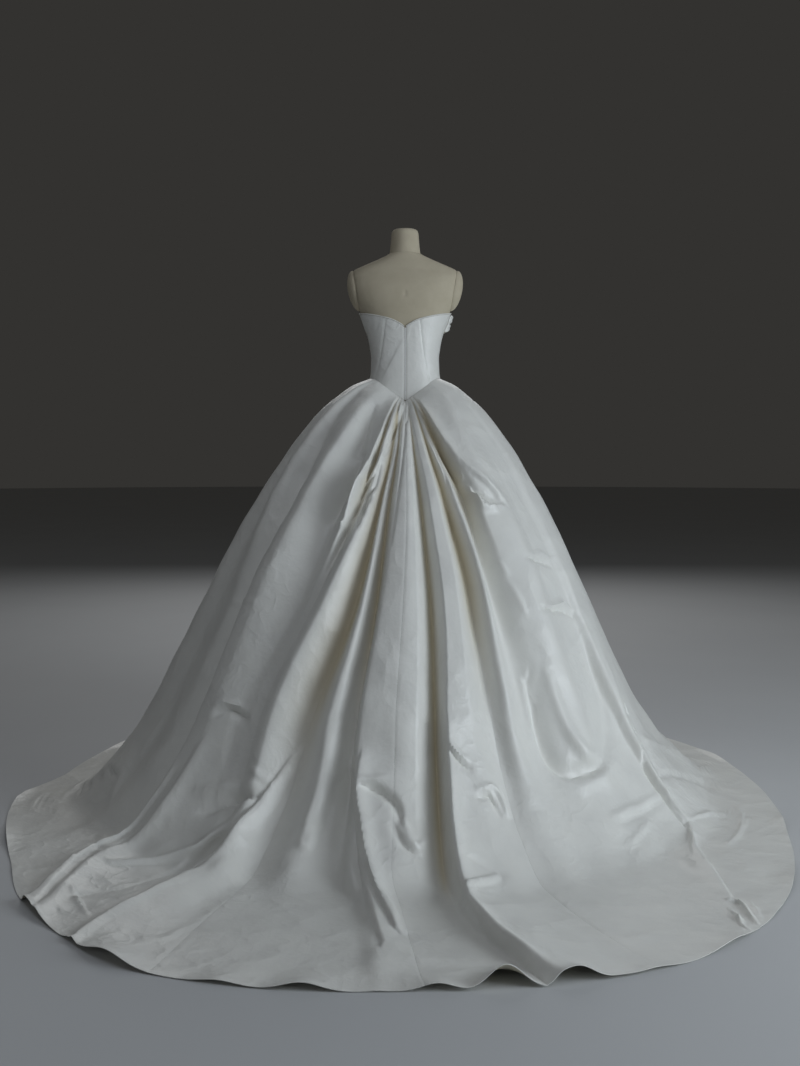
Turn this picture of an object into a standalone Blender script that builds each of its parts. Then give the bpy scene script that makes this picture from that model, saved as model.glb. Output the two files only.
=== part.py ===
# Wedding dress with a full pleated skirt and floor-length train, standing on a limbless dress form.
# Metres. +X is the wearer's right, +Y the wearer's front, -Y the back with the train, +Z up.
# Angles round the dress are in degrees from the centre back, positive towards the wearer's right.
import math

import bmesh
import bpy
import numpy as np

# Cloth and seams
SKIRT_WALL = 0.0024
BODICE_WALL = 0.0020
SEAM_GAP = 0.0003
WAIST_SEAM_GAP = 0.0004
FORM_CLEARANCE = 0.0022

# Heights on the form and on the bodice
WAIST_HEIGHT = 1.247
WAIST_POINT_DROP = 0.074
WAIST_POINT_ANGLE = 60.0
WAIST_ROUNDING_ANGLE = 14.0
NECK_SEAM_HEIGHT = 1.643
NECK_TOP_HEIGHT = 1.722
TORSO_FOOT_HEIGHT = 0.985

# Neckline edge, zip and side bow
EDGE_RADIUS = 0.0017
EDGE_STAND_OFF = 0.0008
ZIP_HALF_WIDTH = 0.0025
ZIP_OPENING_ANGLE = 2.0
ZIP_THICKNESS = 0.0012
ZIP_RECESS = 0.0004
ZIP_TOP_DROP = 0.004
ZIP_FOOT_LIFT = 0.0015
ZIP_ROWS = 12
BOW_ANGLES = (93.0, 121.0)
BOW_HEIGHTS = (1.398, 1.450)
BOW_PROUD = 0.014
BOW_WALL = 0.0016
BOW_STAND_OFF = 0.0008
BOW_PINCH = 0.18
BOW_NOTCH_DEPTH = 0.28
BOW_NOTCH_PLACE = 0.52
BOW_NOTCH_SPREAD = 0.13
BOW_FULLNESS = 0.6
BOW_ROWS = 9
BOW_COLUMNS = 11
EDGE_SECTIONS = 60
EDGE_SIDES = 5

# Shoulder caps
CAP_CENTRE_HEIGHT = 1.526
CAP_HALF_HEIGHT = 0.064
CAP_HALF_DEPTH = 0.047
CAP_BULGE = 0.027
CAP_PLANE_X = 0.1425
CAP_PLANE_HEIGHT = 1.457
CAP_PLANE_SLOPE = 0.165
CAP_PLANE_GAP = 0.00033
CAP_FORWARD_SHIFT = 0.004
CAP_CROWN_ANGLE = 84.0
ROUND_SIDES = 24
TORSO_SIDES = 48
CAP_RINGS = 6

# Stand
POLE_RADIUS = 0.016
BASE_RADIUS = 0.190
BASE_THICKNESS = 0.022
BASE_HUB_RADIUS = 0.034
BASE_HUB_HEIGHT = 0.060
BASE_EDGE = 0.004

# Floor and hem
FLOOR_ROUNDING = 0.050
TRAIN_ROUNDING = 0.090
TRAIN_SPREAD_ANGLE = 52.0
FLOOR_SLOPE = 1.136
FLOOR_SETTLE = 0.006
FLOOR_SETTLE_POWER = 8
SIDE_BLEND_ANGLE = 8.0

# Torso sections: height, half breadth, depth to the back, depth to the front
TORSO_SECTIONS = (
    (0.985, 0.150, 0.098, 0.094),
    (1.030, 0.166, 0.112, 0.102),
    (1.080, 0.167, 0.113, 0.102),
    (1.130, 0.155, 0.106, 0.098),
    (1.180, 0.130, 0.096, 0.092),
    (1.230, 0.1115, 0.0875, 0.087),
    (1.270, 0.1045, 0.083, 0.084),
    (1.310, 0.1035, 0.082, 0.086),
    (1.350, 0.1080, 0.084, 0.092),
    (1.385, 0.1155, 0.088, 0.096),
    (1.420, 0.1290, 0.092, 0.100),
    (1.455, 0.1420, 0.095, 0.102),
    (1.490, 0.1640, 0.096, 0.098),
    (1.530, 0.1790, 0.092, 0.088),
    (1.565, 0.1830, 0.080, 0.070),
    (1.590, 0.1630, 0.068, 0.058),
    (1.608, 0.1250, 0.062, 0.054),
    (1.624, 0.0880, 0.056, 0.052),
    (1.636, 0.0620, 0.053, 0.052),
    (1.643, 0.0500, 0.050, 0.052),
)
TORSO_ROUNDNESS = 2.25
BUST_HEIGHT = 1.392
BUST_ANGLE = 145.0
BUST_PROUD = 0.030
BUST_SPREAD_ANGLE = 27.0
BUST_SPREAD_HEIGHT = 0.060

# Neck block above the neck seam: height, half breadth, half depth
NECK_SECTIONS = (
    (NECK_SEAM_HEIGHT + SEAM_GAP, 0.0490, 0.050), (1.665, 0.0462, 0.048), (1.690, 0.0440, 0.046),
    (1.708, 0.0425, 0.0445), (1.716, 0.0395, 0.0415), (1.7205, 0.0330, 0.035),
    (NECK_TOP_HEIGHT, 0.0180, 0.019),
)

# Neckline: angle, height of the finished edge
NECKLINE = (
    (0.0, 1.405), (10.0, 1.417), (24.0, 1.429), (40.0, 1.438), (62.0, 1.448), (90.0, 1.456),
    (120.0, 1.462), (145.0, 1.470), (165.0, 1.455), (180.0, 1.446),
)

# Bell of the skirt: share of the drop to the floor, share of the spread. Length down the cloth is
# measured with the mean drop and the mean spread in metres.
BELL_DROP = 1.2
BELL_SPREAD = 0.88
BELL = (
    (0.0, 0.0), (0.02, 0.066), (0.046, 0.117), (0.071, 0.160), (0.122, 0.226), (0.173, 0.281),
    (0.225, 0.331), (0.327, 0.420), (0.429, 0.501), (0.532, 0.574), (0.634, 0.647), (0.736, 0.720),
    (0.787, 0.757), (0.839, 0.803), (0.900, 0.872), (0.950, 0.940), (1.0, 1.0),
)

# How far the right flank hangs in from the bell: length, distance in metres
FLANK_ANGLE = 82.0
FLANK_SPREAD_ANGLE = 34.0
FLANK_DRAW = (
    (0.0, 0.0), (0.12, 0.010), (0.30, 0.018), (0.50, 0.030), (0.75, 0.044), (0.88, 0.040), (1.0, 0.014),
    (1.2, 0.0), (2.0, 0.0),
)

# Where the cloth reaches the floor: angle, radius on the wearer's left, radius on the right
FLOOR_CONTACT = (
    (0.0, 1.00, 1.00), (45.0, 1.00, 0.97), (70.0, 0.99, 0.95), (95.0, 0.95, 0.93),
    (135.0, 0.94, 0.93), (180.0, 0.93, 0.93),
)

# Hem on the floor: angle, radius on the wearer's left, radius on the right
HEM = (
    (0.0, 1.547, 1.547), (10.0, 1.560, 1.550), (20.0, 1.555, 1.530), (30.0, 1.475, 1.465),
    (40.0, 1.385, 1.370), (50.0, 1.285, 1.265), (60.0, 1.230, 1.180), (75.0, 1.175, 1.105),
    (90.0, 1.065, 1.065), (110.0, 1.045, 1.040), (140.0, 1.000, 0.995), (180.0, 0.980, 0.980),
)

# Folds of the skirt, one row for each crest, edge or hollow line, going round from the front centre
# over the wearer's left to the back and the right. Lengths run from 0 at the waist over 1 at the
# floor to 2 at the hem.
FOLD_LENGTHS = (0.0, 0.12, 0.30, 0.50, 0.75, 1.0, 1.3, 2.0)
# name, angles at those lengths, heights above the bell in mm at those lengths
FOLDS = (
    ("front crest", (-180, -180, -180, -180, -180, -180, -180, -180),
     (0, 6, 12, 16, 20, 16, 4, 0)),
    ("front left hollow", (-159, -159, -159, -159, -159, -159, -159, -159),
     (0, -3, -8, -12, -12, -6, 0, 0)),
    ("side front left crest", (-138, -138, -138, -138, -138, -138, -138, -138),
     (0, 5, 12, 20, 24, 16, 4, 0)),
    ("side left hollow", (-120, -120, -120, -120, -120, -120, -120, -120),
     (0, -4, -9, -14, -14, -6, 0, 0)),
    ("side left crest", (-104, -104, -104, -104, -104, -104, -104, -104),
     (0, 6, 12, 20, 26, 18, 8, 2)),
    ("side seam hollow left", (-90, -90, -89, -89, -89, -88, -88, -88),
     (0, -2, -5, -8, -8, -4, 0, 0)),
    ("left flank crest", (-80, -79, -76, -74, -74, -73, -72, -70),
     (0, 5, 10, 14, 16, 12, 6, 4)),
    ("left flank hollow", (-70, -68, -65, -63, -62, -61, -60, -56),
     (0, 0, -4, -8, -10, 0, 0, 0)),
    ("narrow side pleat", (-60, -58, -56, -53, -54, -56, -55, -50),
     (0, 12, 24, 12, 2, 4, 10, 4)),
    ("hollow under the left edge", (-54, -51, -48, -46.2, -45.8, -45.8, -46, -39.4),
     (0, -8, -22, -30, -34, -18, -2, 0)),
    ("left overlapping edge", (-46, -43, -43.5, -44.4, -44.2, -44.2, -44.6, -37.6),
     (0, 4, 12, 32, 40, 46, 42, 18)),
    ("left broad crest", (-36, -35, -38, -40, -40.5, -40, -38, -33.4),
     (0, 12, 30, 42, 46, 34, 18, 8)),
    ("left pocket", (-22, -24, -27, -29, -34, -32, -34, -32),
     (0, -8, -26, -8, 24, 18, 10, 2)),
    ("left waist pleat edge", (-12.6, -14, -19, -25.6, -32, -30, -31.5, -30.8),
     (0, 10, 26, 6, 26, 18, 8, 2)),
    ("hollow under the waist pleat", (-10.8, -12.4, -17.6, -23.6, -29.6, -28, -29.4, -30),
     (0, -6, -17, 8, 30, 12, 2, 0)),
    ("left bright crest", (-8.8, -9.6, -13.2, -20, -26.6, -25, -26, -28),
     (0, 5, 18, 34, 42, 38, 34, 10)),
    ("left gore seam hollow", (-6.6, -6.8, -10, -13.6, -20, -21, -20.5, -19),
     (0, -4, -16, -22, -18, -4, 2, 2)),
    ("left narrow crest", (-5, -5.1, -8.2, -10.8, -15, -15.6, -14.6, -13),
     (0, 3, 7, 16, 25, 18, 4, 4)),
    ("left dark hollow", (-3.5, -3.7, -6.4, -8, -10.4, -9.6, -6.6, -4.6),
     (0, -3, -14, -22, -24, -12, 0, 0)),
    ("centre left edge", (-1.8, -1.9, -3.2, -5.6, -8.4, -7, -3.8, -1.6),
     (0, 5, 20, 32, 40, 44, 32, 8)),
    ("centre back crest", (0, 0.4, 0.4, -0.6, -2, -2, -0.6, 1.2),
     (0, 7, 26, 40, 46, 40, 14, 7)),
    ("centre right edge", (1.8, 2.1, 2.6, 2.6, 1.6, 1, 1.4, 4),
     (0, 5, 20, 33, 38, 28, 6, 3)),
    ("centre hollow", (3.5, 4.1, 6, 6.8, 5.8, 5.0, 5.2, 9.6),
     (0, -4, -18, -24, -22, -14, -2, 0)),
    ("right gore left edge", (5.2, 6.2, 8.8, 9.8, 7.8, 6.8, 6.9, 11.3),
     (0, 4, 18, 30, 44, 48, 40, 30)),
    ("right gore crest", (7, 8.2, 11.4, 13, 12, 12, 13, 15),
     (0, 5, 20, 31, 36, 24, 13, 12)),
    ("right gore seam hollow", (8.8, 10.8, 15.6, 18, 17.6, 17.4, 17.4, 19),
     (0, -4, -14, -18, -4, 6, 2, 0)),
    ("right narrow edge", (10.6, 12.2, 18.4, 21, 20.8, 21.4, 21.2, 22.4),
     (0, 5, 18, 32, 26, 12, 4, 2)),
    ("right dark pocket", (12.5, 15.4, 23.6, 25.4, 26.4, 27, 25.4, 25.2),
     (0, -6, -26, -28, -14, 4, 2, 0)),
    ("right waist pleat edge", (15, 17.4, 26, 30, 32, 33, 29.6, 27.4),
     (0, 12, 30, 18, 6, 6, 2, 1)),
    ("right broad crest", (26, 30, 34.6, 37, 38, 39, 33.4, 29.2),
     (0, 11, 30, 38, 22, 6, 2, 0)),
    ("right hollow", (42, 44, 45, 45, 44.6, 44.4, 37, 30.6),
     (0, 4, 8, 6, -2, -2, 0, 2)),
    ("hollow under the right edge", (52, 53, 53, 53, 51.6, 49.4, 40.6, 32.2),
     (0, 2, 4, 2, -6, -2, 4, 4)),
    ("right overlapping edge", (60, 59, 58, 57, 53.6, 51.2, 43, 34.4),
     (0, 6, 12, 18, 22, 22, 9, 6)),
    ("right flank crest", (70, 69, 68, 67, 63, 60, 53, 43),
     (0, 6, 14, 18, 20, 14, 8, 8)),
    ("right flank hollow", (81, 80, 79, 78, 76, 75, 70, 62),
     (0, -2, -5, -8, -6, -2, 2, 4)),
    ("side seam crest right", (94, 94, 94, 94, 93, 92, 90, 86),
     (0, 5, 12, 18, 22, 14, 6, 3)),
    ("side right hollow", (110, 110, 110, 110, 110, 110, 110, 110),
     (0, -4, -9, -14, -14, -6, 0, 0)),
    ("side front right crest", (132, 132, 132, 132, 132, 132, 132, 132),
     (0, 5, 12, 20, 24, 16, 4, 0)),
    ("front right hollow", (157, 157, 157, 157, 157, 157, 157, 157),
     (0, -3, -8, -12, -12, -6, 0, 0)),
)

# Gores of the skirt: node name, fold line where it starts, fold line where it ends
GORES = (
    ("skirt_front", "side front right crest", "side front left crest"),
    ("skirt_side_front_left", "side front left crest", "side seam hollow left"),
    ("skirt_side_back_left", "side seam hollow left", "left gore seam hollow"),
    ("skirt_back_left", "left gore seam hollow", "centre back crest"),
    ("skirt_back_right", "centre back crest", "right gore seam hollow"),
    ("skirt_side_back_right", "right gore seam hollow", "side seam crest right"),
    ("skirt_side_front_right", "side seam crest right", "side front right crest"),
)
COLUMNS_PER_FOLD = 3
FOLD_LEAD = 3
LENGTH_STEP = 0.004
SKIRT_ROWS = (
    0.0, 0.03, 0.075, 0.13, 0.19, 0.26, 0.34, 0.43, 0.52, 0.61, 0.70, 0.79, 0.87, 0.935, 0.99, 1.07,
    1.20, 1.38, 1.64, 2.0,
)

# Seams of the bodice: name, angle at the waist, angle at the neckline
BODICE_SEAMS = (
    ("centre back", ZIP_OPENING_ANGLE, ZIP_OPENING_ANGLE),
    ("right back seam", 49.0, 26.5),
    ("side seam right", 92.0, 92.0),
    ("right front seam", 146.0, 143.0),
    ("left front seam", 214.0, 217.0),
    ("side seam left", 268.0, 268.0),
    ("left back seam", 300.0, 326.0),
    ("centre back again", 360.0 - ZIP_OPENING_ANGLE, 360.0 - ZIP_OPENING_ANGLE),
)
BODICE_PANELS = (
    ("bodice_back_right", 5), ("bodice_side_back_right", 8), ("bodice_side_front_right", 8),
    ("bodice_front", 10), ("bodice_side_front_left", 8), ("bodice_side_back_left", 7),
    ("bodice_back_left", 8),
)
BODICE_ROWS = 8

# Edges that turn by more than this stay sharp
SHARP_ANGLE = 60.0

# Colours: linear red, green, blue; roughness; metallic
LOOKS = {
    "satin": ((0.760, 0.775, 0.765), 0.42, 0.0),
    "linen": ((0.520, 0.470, 0.390), 0.85, 0.0),
    "zip": ((0.560, 0.565, 0.560), 0.55, 0.0),
    "steel": ((0.420, 0.420, 0.425), 0.35, 1.0),
    "base": ((0.050, 0.050, 0.052), 0.45, 0.0),
}


def steady(knots, values, at):
    """Smooth curve through the values that never swings past them, along the first axis."""
    knots = np.asarray(knots, float)
    values = np.asarray(values, float)
    shape = (-1,) + (1,) * (values.ndim - 1)
    width = np.diff(knots).reshape(shape)
    slope = np.diff(values, axis=0) / width
    before = slope[:-1]
    after = slope[1:]
    same = before * after > 0
    total = np.where(same, before + after, 1.0)
    inner = np.where(same, 2.0 * before * after / total, 0.0)
    tangent = np.concatenate([slope[:1], inner, slope[-1:]], axis=0)
    at = np.asarray(at, float)
    cell = np.clip(np.searchsorted(knots, at, side="right") - 1, 0, len(knots) - 2)
    step = (knots[cell + 1] - knots[cell]).reshape(shape)
    x = (at - knots[cell]).reshape(shape) / step
    start = values[cell] * (1 + 2 * x) * (1 - x) ** 2 + tangent[cell] * step * x * (1 - x) ** 2
    end = values[cell + 1] * x * x * (3 - 2 * x) + tangent[cell + 1] * step * x * x * (x - 1)
    return start + end


def raised(height, rounding):
    """Height kept above zero, with a soft bend over the rounding length on both sides."""
    bend = (height + rounding) ** 2 / (4.0 * rounding)
    return np.where(height > rounding, height, np.where(height < -rounding, 0.0, bend))


def by_side(table, angle):
    """Value of a left and right table at angles of -180 to 180 degrees."""
    rows = np.asarray(table, float)
    away = np.abs(angle)
    left = steady(rows[:, 0], rows[:, 1], away.ravel()).reshape(away.shape)
    right = steady(rows[:, 0], rows[:, 2], away.ravel()).reshape(away.shape)
    blend = np.clip((angle + SIDE_BLEND_ANGLE) / (2.0 * SIDE_BLEND_ANGLE), 0.0, 1.0)
    return np.where(away < 90.0, left + (right - left) * blend, np.where(angle < 0, left, right))


def wrapped(angle):
    """Angle brought into -180 to 180 degrees."""
    return (np.asarray(angle, float) + 180.0) % 360.0 - 180.0


def waist_height(angle):
    """Height of the waist seam, level at the front and dropping to a point at the centre back."""
    near = raised(WAIST_POINT_ANGLE - np.abs(wrapped(angle)), WAIST_ROUNDING_ANGLE) / WAIST_POINT_ANGLE
    return WAIST_HEIGHT - WAIST_POINT_DROP * near


def torso_radius(angle, height):
    """Radius of the form at an angle and a height, with the two soft cups at the front."""
    rows = np.asarray(TORSO_SECTIONS, float)
    angle, height = np.broadcast_arrays(wrapped(angle), np.asarray(height, float))
    values = steady(rows[:, 0], rows[:, 1:], height.ravel())
    breadth = values[:, 0].reshape(height.shape)
    turn = np.radians(angle)
    depth = np.where(np.cos(turn) > 0, values[:, 1].reshape(height.shape), values[:, 2].reshape(height.shape))
    n = TORSO_ROUNDNESS
    radius = (np.abs(np.sin(turn) / breadth) ** n + np.abs(np.cos(turn) / depth) ** n) ** (-1.0 / n)
    across = (np.abs(angle) - BUST_ANGLE) / BUST_SPREAD_ANGLE
    up = (height - BUST_HEIGHT) / BUST_SPREAD_HEIGHT
    return radius + BUST_PROUD * np.exp(-across ** 2 - up ** 2)


def polar(radius, angle, height):
    """Points from radius, angle from the centre back in degrees, and height."""
    turn = np.radians(angle)
    return np.stack([radius * np.sin(turn), -radius * np.cos(turn), height + 0.0 * radius], axis=-1)


def unit(vectors):
    """Vectors brought to length one."""
    return vectors / np.linalg.norm(vectors, axis=-1, keepdims=True)


def normals_of(points, closed):
    """Unit normals of a grid of points, rows down the cloth and columns round it."""
    if closed:
        across = np.roll(points, -1, axis=1) - np.roll(points, 1, axis=1)
    else:
        across = np.gradient(points, axis=1)
    return unit(np.cross(np.gradient(points, axis=0), across))


def bell(angle, length):
    """Radius and height of the skirt without folds: the bell from the waist to the floor, then the run
    on the floor to the hem, with a soft bend where it touches down."""
    profile = np.asarray(BELL, float)
    steps = np.hypot(np.diff(profile[:, 0]) * BELL_DROP, np.diff(profile[:, 1]) * BELL_SPREAD)
    run = np.concatenate([[0.0], np.cumsum(steps)])
    share = steady(run / run[-1], profile, np.clip(length, 0.0, 1.0).ravel())
    drop = share[:, 0].reshape(length.shape)
    spread = share[:, 1].reshape(length.shape)
    top = waist_height(angle)
    inner = torso_radius(angle, top) + FORM_CLEARANCE
    contact = by_side(FLOOR_CONTACT, angle)
    out = contact + (by_side(HEM, angle) - contact) * np.clip(length - 1.0, 0.0, 1.0)
    radius = np.where(length > 1.0, out, inner + (contact - inner) * spread)
    draw = np.asarray(FLANK_DRAW, float)
    draw = steady(draw[:, 0], draw[:, 1], length.ravel()).reshape(length.shape)
    radius = radius - draw * np.exp(-((angle - FLANK_ANGLE) / FLANK_SPREAD_ANGLE) ** 2)
    height = np.where(length > 1.0, (contact - out) * FLOOR_SLOPE, top * (1.0 - drop))
    rounding = FLOOR_ROUNDING + TRAIN_ROUNDING * np.exp(-(angle / TRAIN_SPREAD_ANGLE) ** 2)
    return radius, raised(height, rounding)


def skirt_surface():
    """Inner face of the skirt: the bell, the run on the floor and the folds, and its normals."""
    rows = np.asarray(SKIRT_ROWS)
    angles = steady(FOLD_LENGTHS, np.array([row[1] for row in FOLDS], float).T, rows)
    heights = steady(FOLD_LENGTHS, np.array([row[2] for row in FOLDS], float).T / 1000.0, rows)
    angles = np.concatenate([angles[:, -FOLD_LEAD:] - 360.0, angles, angles[:, :FOLD_LEAD] + 360.0], axis=1)
    heights = np.concatenate([heights[:, -FOLD_LEAD:], heights, heights[:, :FOLD_LEAD]], axis=1)
    lines = np.arange(-FOLD_LEAD, len(FOLDS) + FOLD_LEAD)
    across = np.arange(len(FOLDS) * COLUMNS_PER_FOLD) / COLUMNS_PER_FOLD
    angle = steady(lines, angles.T, across).T
    fold = steady(lines, heights.T, across).T
    turned = wrapped(angle)
    length = np.repeat(rows[:, None], angle.shape[1], axis=1)
    radius, height = bell(turned, length)
    radius_up, height_up = bell(turned, np.maximum(length - LENGTH_STEP, 0.0))
    radius_down, height_down = bell(turned, np.minimum(length + LENGTH_STEP, length.max()))
    lean_out = height_up - height_down
    lean_up = radius_down - radius_up
    size = np.hypot(lean_out, lean_up)
    radius = radius + fold * lean_out / size
    height = height + fold * lean_up / size - FLOOR_SETTLE * np.clip(length, 0.0, 1.0) ** FLOOR_SETTLE_POWER
    points = polar(radius, angle, raised(height, FLOOR_SETTLE))
    normals = normals_of(points, True)
    normals[0] = polar(np.ones(angle.shape[1]), angle[0], np.zeros(angle.shape[1]))
    return points, normals


def shell_mesh(inner, outer):
    """Closed wall between two matching grids of points."""
    rows, columns = inner.shape[:2]
    verts = np.concatenate([inner.reshape(-1, 3), outer.reshape(-1, 3)])
    index = np.arange(rows * columns).reshape(rows, columns)
    back = index + rows * columns
    faces = []

    def strip(a, b, c, d):
        faces.extend(np.stack([a.ravel(), b.ravel(), c.ravel(), d.ravel()], axis=1).tolist())

    strip(back[:-1, :-1], back[1:, :-1], back[1:, 1:], back[:-1, 1:])
    strip(index[:-1, :-1], index[:-1, 1:], index[1:, 1:], index[1:, :-1])
    strip(index[0, :-1], back[0, :-1], back[0, 1:], index[0, 1:])
    strip(index[-1, :-1], index[-1, 1:], back[-1, 1:], back[-1, :-1])
    strip(index[:-1, 0], index[1:, 0], back[1:, 0], back[:-1, 0])
    strip(index[:-1, -1], back[:-1, -1], back[1:, -1], index[1:, -1])
    return verts, faces


def loft_mesh(rings):
    """Closed body through rings of points, with a flat or domed cap fanned at each end."""
    rings = np.asarray(rings, float)
    rows, columns = rings.shape[:2]
    index = np.arange(rows * columns).reshape(rows, columns)
    after = np.roll(index, -1, axis=1)
    verts = np.concatenate([rings.reshape(-1, 3), rings[0].mean(axis=0)[None], rings[-1].mean(axis=0)[None]])
    low = rows * columns
    high = low + 1
    faces = np.stack([index[:-1], after[:-1], after[1:], index[1:]], axis=-1).reshape(-1, 4).tolist()
    faces.extend([[int(b), int(a), low] for a, b in zip(index[0], after[0])])
    faces.extend([[int(a), int(b), high] for a, b in zip(index[-1], after[-1])])
    return verts, faces


def material(name):
    """The named look as a plain surface material."""
    look = LOOKS[name]
    made = bpy.data.materials.get(name)
    if made is None:
        made = bpy.data.materials.new(name)
        made.use_nodes = True
        shader = made.node_tree.nodes["Principled BSDF"]
        shader.inputs["Base Color"].default_value = (*look[0], 1.0)
        shader.inputs["Roughness"].default_value = look[1]
        shader.inputs["Metallic"].default_value = look[2]
    return made


def add_object(name, verts, faces, look):
    """One named closed object with faces turned outward."""
    mesh = bpy.data.meshes.new(name)
    mesh.from_pydata(np.asarray(verts, float).tolist(), [], faces)
    work = bmesh.new()
    work.from_mesh(mesh)
    bmesh.ops.triangulate(work, faces=[face for face in work.faces if len(face.verts) > 3])
    bmesh.ops.recalc_face_normals(work, faces=work.faces)
    if work.calc_volume(signed=True) < 0:
        bmesh.ops.reverse_faces(work, faces=work.faces)
    work.to_mesh(mesh)
    work.free()
    own = material(look).copy()
    own.name = name + "_" + look
    mesh.materials.append(own)
    mesh.polygons.foreach_set("use_smooth", [True] * len(mesh.polygons))
    mesh.set_sharp_from_angle(angle=math.radians(SHARP_ANGLE))
    made = bpy.data.objects.new(name, mesh)
    bpy.context.scene.collection.objects.link(made)
    return made


def parted(points, normals, wall):
    """Inner and outer grids of a panel, its two side edges drawn in by half the seam gap."""
    inner = points.copy()
    for edge, inward in ((0, 1), (-1, -2)):
        along = points[:, inward] - points[:, edge]
        facing = normals[:, edge]
        along = unit(along - facing * (along * facing).sum(axis=-1, keepdims=True))
        inner[:, edge] = points[:, edge] + along * SEAM_GAP / 2.0
    return inner, inner + normals * wall


def build_skirt():
    """The seven gores, cut out of one skirt surface at their fold lines."""
    points, normals = skirt_surface()
    names = [row[0] for row in FOLDS]
    total = points.shape[1]
    for name, first, last in GORES:
        start = names.index(first) * COLUMNS_PER_FOLD
        end = names.index(last) * COLUMNS_PER_FOLD
        if end <= start:
            end += total
        columns = np.arange(start, end + 1) % total
        inner, outer = parted(points[:, columns], normals[:, columns], SKIRT_WALL)
        verts, faces = shell_mesh(inner, outer)
        add_object(name, verts, faces, "satin")


def neckline_height(angle):
    """Height of the neckline at any angle, the same on both sides."""
    rows = np.asarray(NECKLINE, float)
    away = np.abs(wrapped(angle))
    return steady(rows[:, 0], rows[:, 1], away.ravel()).reshape(away.shape)


def bodice_point(angle, height, out):
    """Point of the bodice at an angle and a height, a distance out from its inner face."""
    return polar(torso_radius(angle, height) + FORM_CLEARANCE + out, angle, height)


def build_bodice():
    """Seven panels from the waist seam to the neckline, parted at the seams."""
    share = np.linspace(1.0, 0.0, BODICE_ROWS)[:, None]
    for number, (name, columns) in enumerate(BODICE_PANELS):
        first = BODICE_SEAMS[number]
        last = BODICE_SEAMS[number + 1]
        across = np.linspace(0.0, 1.0, columns + 1)[None, :]
        start = first[1] + (first[2] - first[1]) * share
        end = last[1] + (last[2] - last[1]) * share
        angle = start + (end - start) * across
        top = neckline_height(angle) - 2.0 * EDGE_RADIUS - EDGE_STAND_OFF
        low = waist_height(angle) + WAIST_SEAM_GAP
        height = low + (top - low) * share
        facing = polar(np.ones(angle.shape), angle, np.zeros(angle.shape))
        inner, outer = parted(bodice_point(angle, height, 0.0), facing, BODICE_WALL)
        verts, faces = shell_mesh(inner, outer)
        add_object(name, verts, faces, "satin")


def build_neckline_edge():
    """Rolled edge along the top of the bodice, open at the centre back."""
    angle = np.linspace(ZIP_OPENING_ANGLE, 360.0 - ZIP_OPENING_ANGLE, EDGE_SECTIONS)
    centre = bodice_point(angle, neckline_height(angle) - EDGE_RADIUS, BODICE_WALL / 2.0)
    along = unit(np.gradient(centre, axis=0))
    out = polar(np.ones(EDGE_SECTIONS), angle, np.zeros(EDGE_SECTIONS))
    side = unit(out - along * (out * along).sum(axis=-1, keepdims=True))
    up = np.cross(along, side)
    turn = np.linspace(0.0, 2.0 * math.pi, EDGE_SIDES, endpoint=False)[None, :, None]
    circle = side[:, None] * np.cos(turn) + up[:, None] * np.sin(turn)
    verts, faces = loft_mesh(centre[:, None] + EDGE_RADIUS * circle)
    add_object("neckline_edge", verts, faces, "satin")


def build_zip():
    """Narrow zip strip that fills the gap between the two back panels."""
    low = float(waist_height(ZIP_OPENING_ANGLE)) + ZIP_FOOT_LIFT
    high = float(neckline_height(np.array([0.0]))[0]) - ZIP_TOP_DROP
    height = np.linspace(high, low, ZIP_ROWS)[:, None]
    x = np.linspace(-ZIP_HALF_WIDTH, ZIP_HALF_WIDTH, 2)[None, :]
    back = torso_radius(0.0, height) + FORM_CLEARANCE + BODICE_WALL - ZIP_RECESS - ZIP_THICKNESS
    inner = np.stack(np.broadcast_arrays(x, -back, height), axis=-1)
    verts, faces = shell_mesh(inner, inner - np.array([0.0, ZIP_THICKNESS, 0.0]))
    add_object("back_zip", verts, faces, "zip")


def build_side_bow():
    """Small loop of folded cloth standing out from the neckline at the wearer's right side."""
    v = np.linspace(1.0, 0.0, BOW_ROWS)[:, None]
    u = np.linspace(0.0, 1.0, BOW_COLUMNS)[None, :]
    angle = BOW_ANGLES[0] + (BOW_ANGLES[1] - BOW_ANGLES[0]) * u + 0.0 * v
    pinch = BOW_PINCH * (1.0 + np.cos(2.0 * math.pi * (u - 0.5)))
    middle = (BOW_HEIGHTS[0] + BOW_HEIGHTS[1]) / 2.0
    half = (BOW_HEIGHTS[1] - BOW_HEIGHTS[0]) / 2.0
    height = middle + half * (2.0 * v - 1.0) * (1.0 - pinch)
    loop = np.sin(math.pi * u) ** BOW_FULLNESS
    notch = 1.0 - BOW_NOTCH_DEPTH * np.exp(-((v - BOW_NOTCH_PLACE) / BOW_NOTCH_SPREAD) ** 2)
    inner = bodice_point(angle, height, BODICE_WALL + BOW_STAND_OFF + BOW_PROUD * loop * notch)
    normals = normals_of(inner, False)
    out = polar(np.ones_like(angle), angle, np.zeros_like(angle))
    normals = normals * np.sign((normals * out).sum(axis=-1, keepdims=True))
    verts, faces = shell_mesh(inner, inner + normals * BOW_WALL)
    add_object("side_bow", verts, faces, "satin")


def cap_plane(height):
    """Distance from the middle of the flat face that carries a shoulder cap."""
    return CAP_PLANE_X + CAP_PLANE_SLOPE * (height - CAP_PLANE_HEIGHT)


def oval_rings(sections, sides):
    """Level rings of half breadth and half depth at each height."""
    turn = np.radians(np.linspace(0.0, 360.0, sides, endpoint=False))
    return [np.stack([a * np.sin(turn), -b * np.cos(turn), 0.0 * turn + z], axis=-1) for z, a, b in sections]


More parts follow.
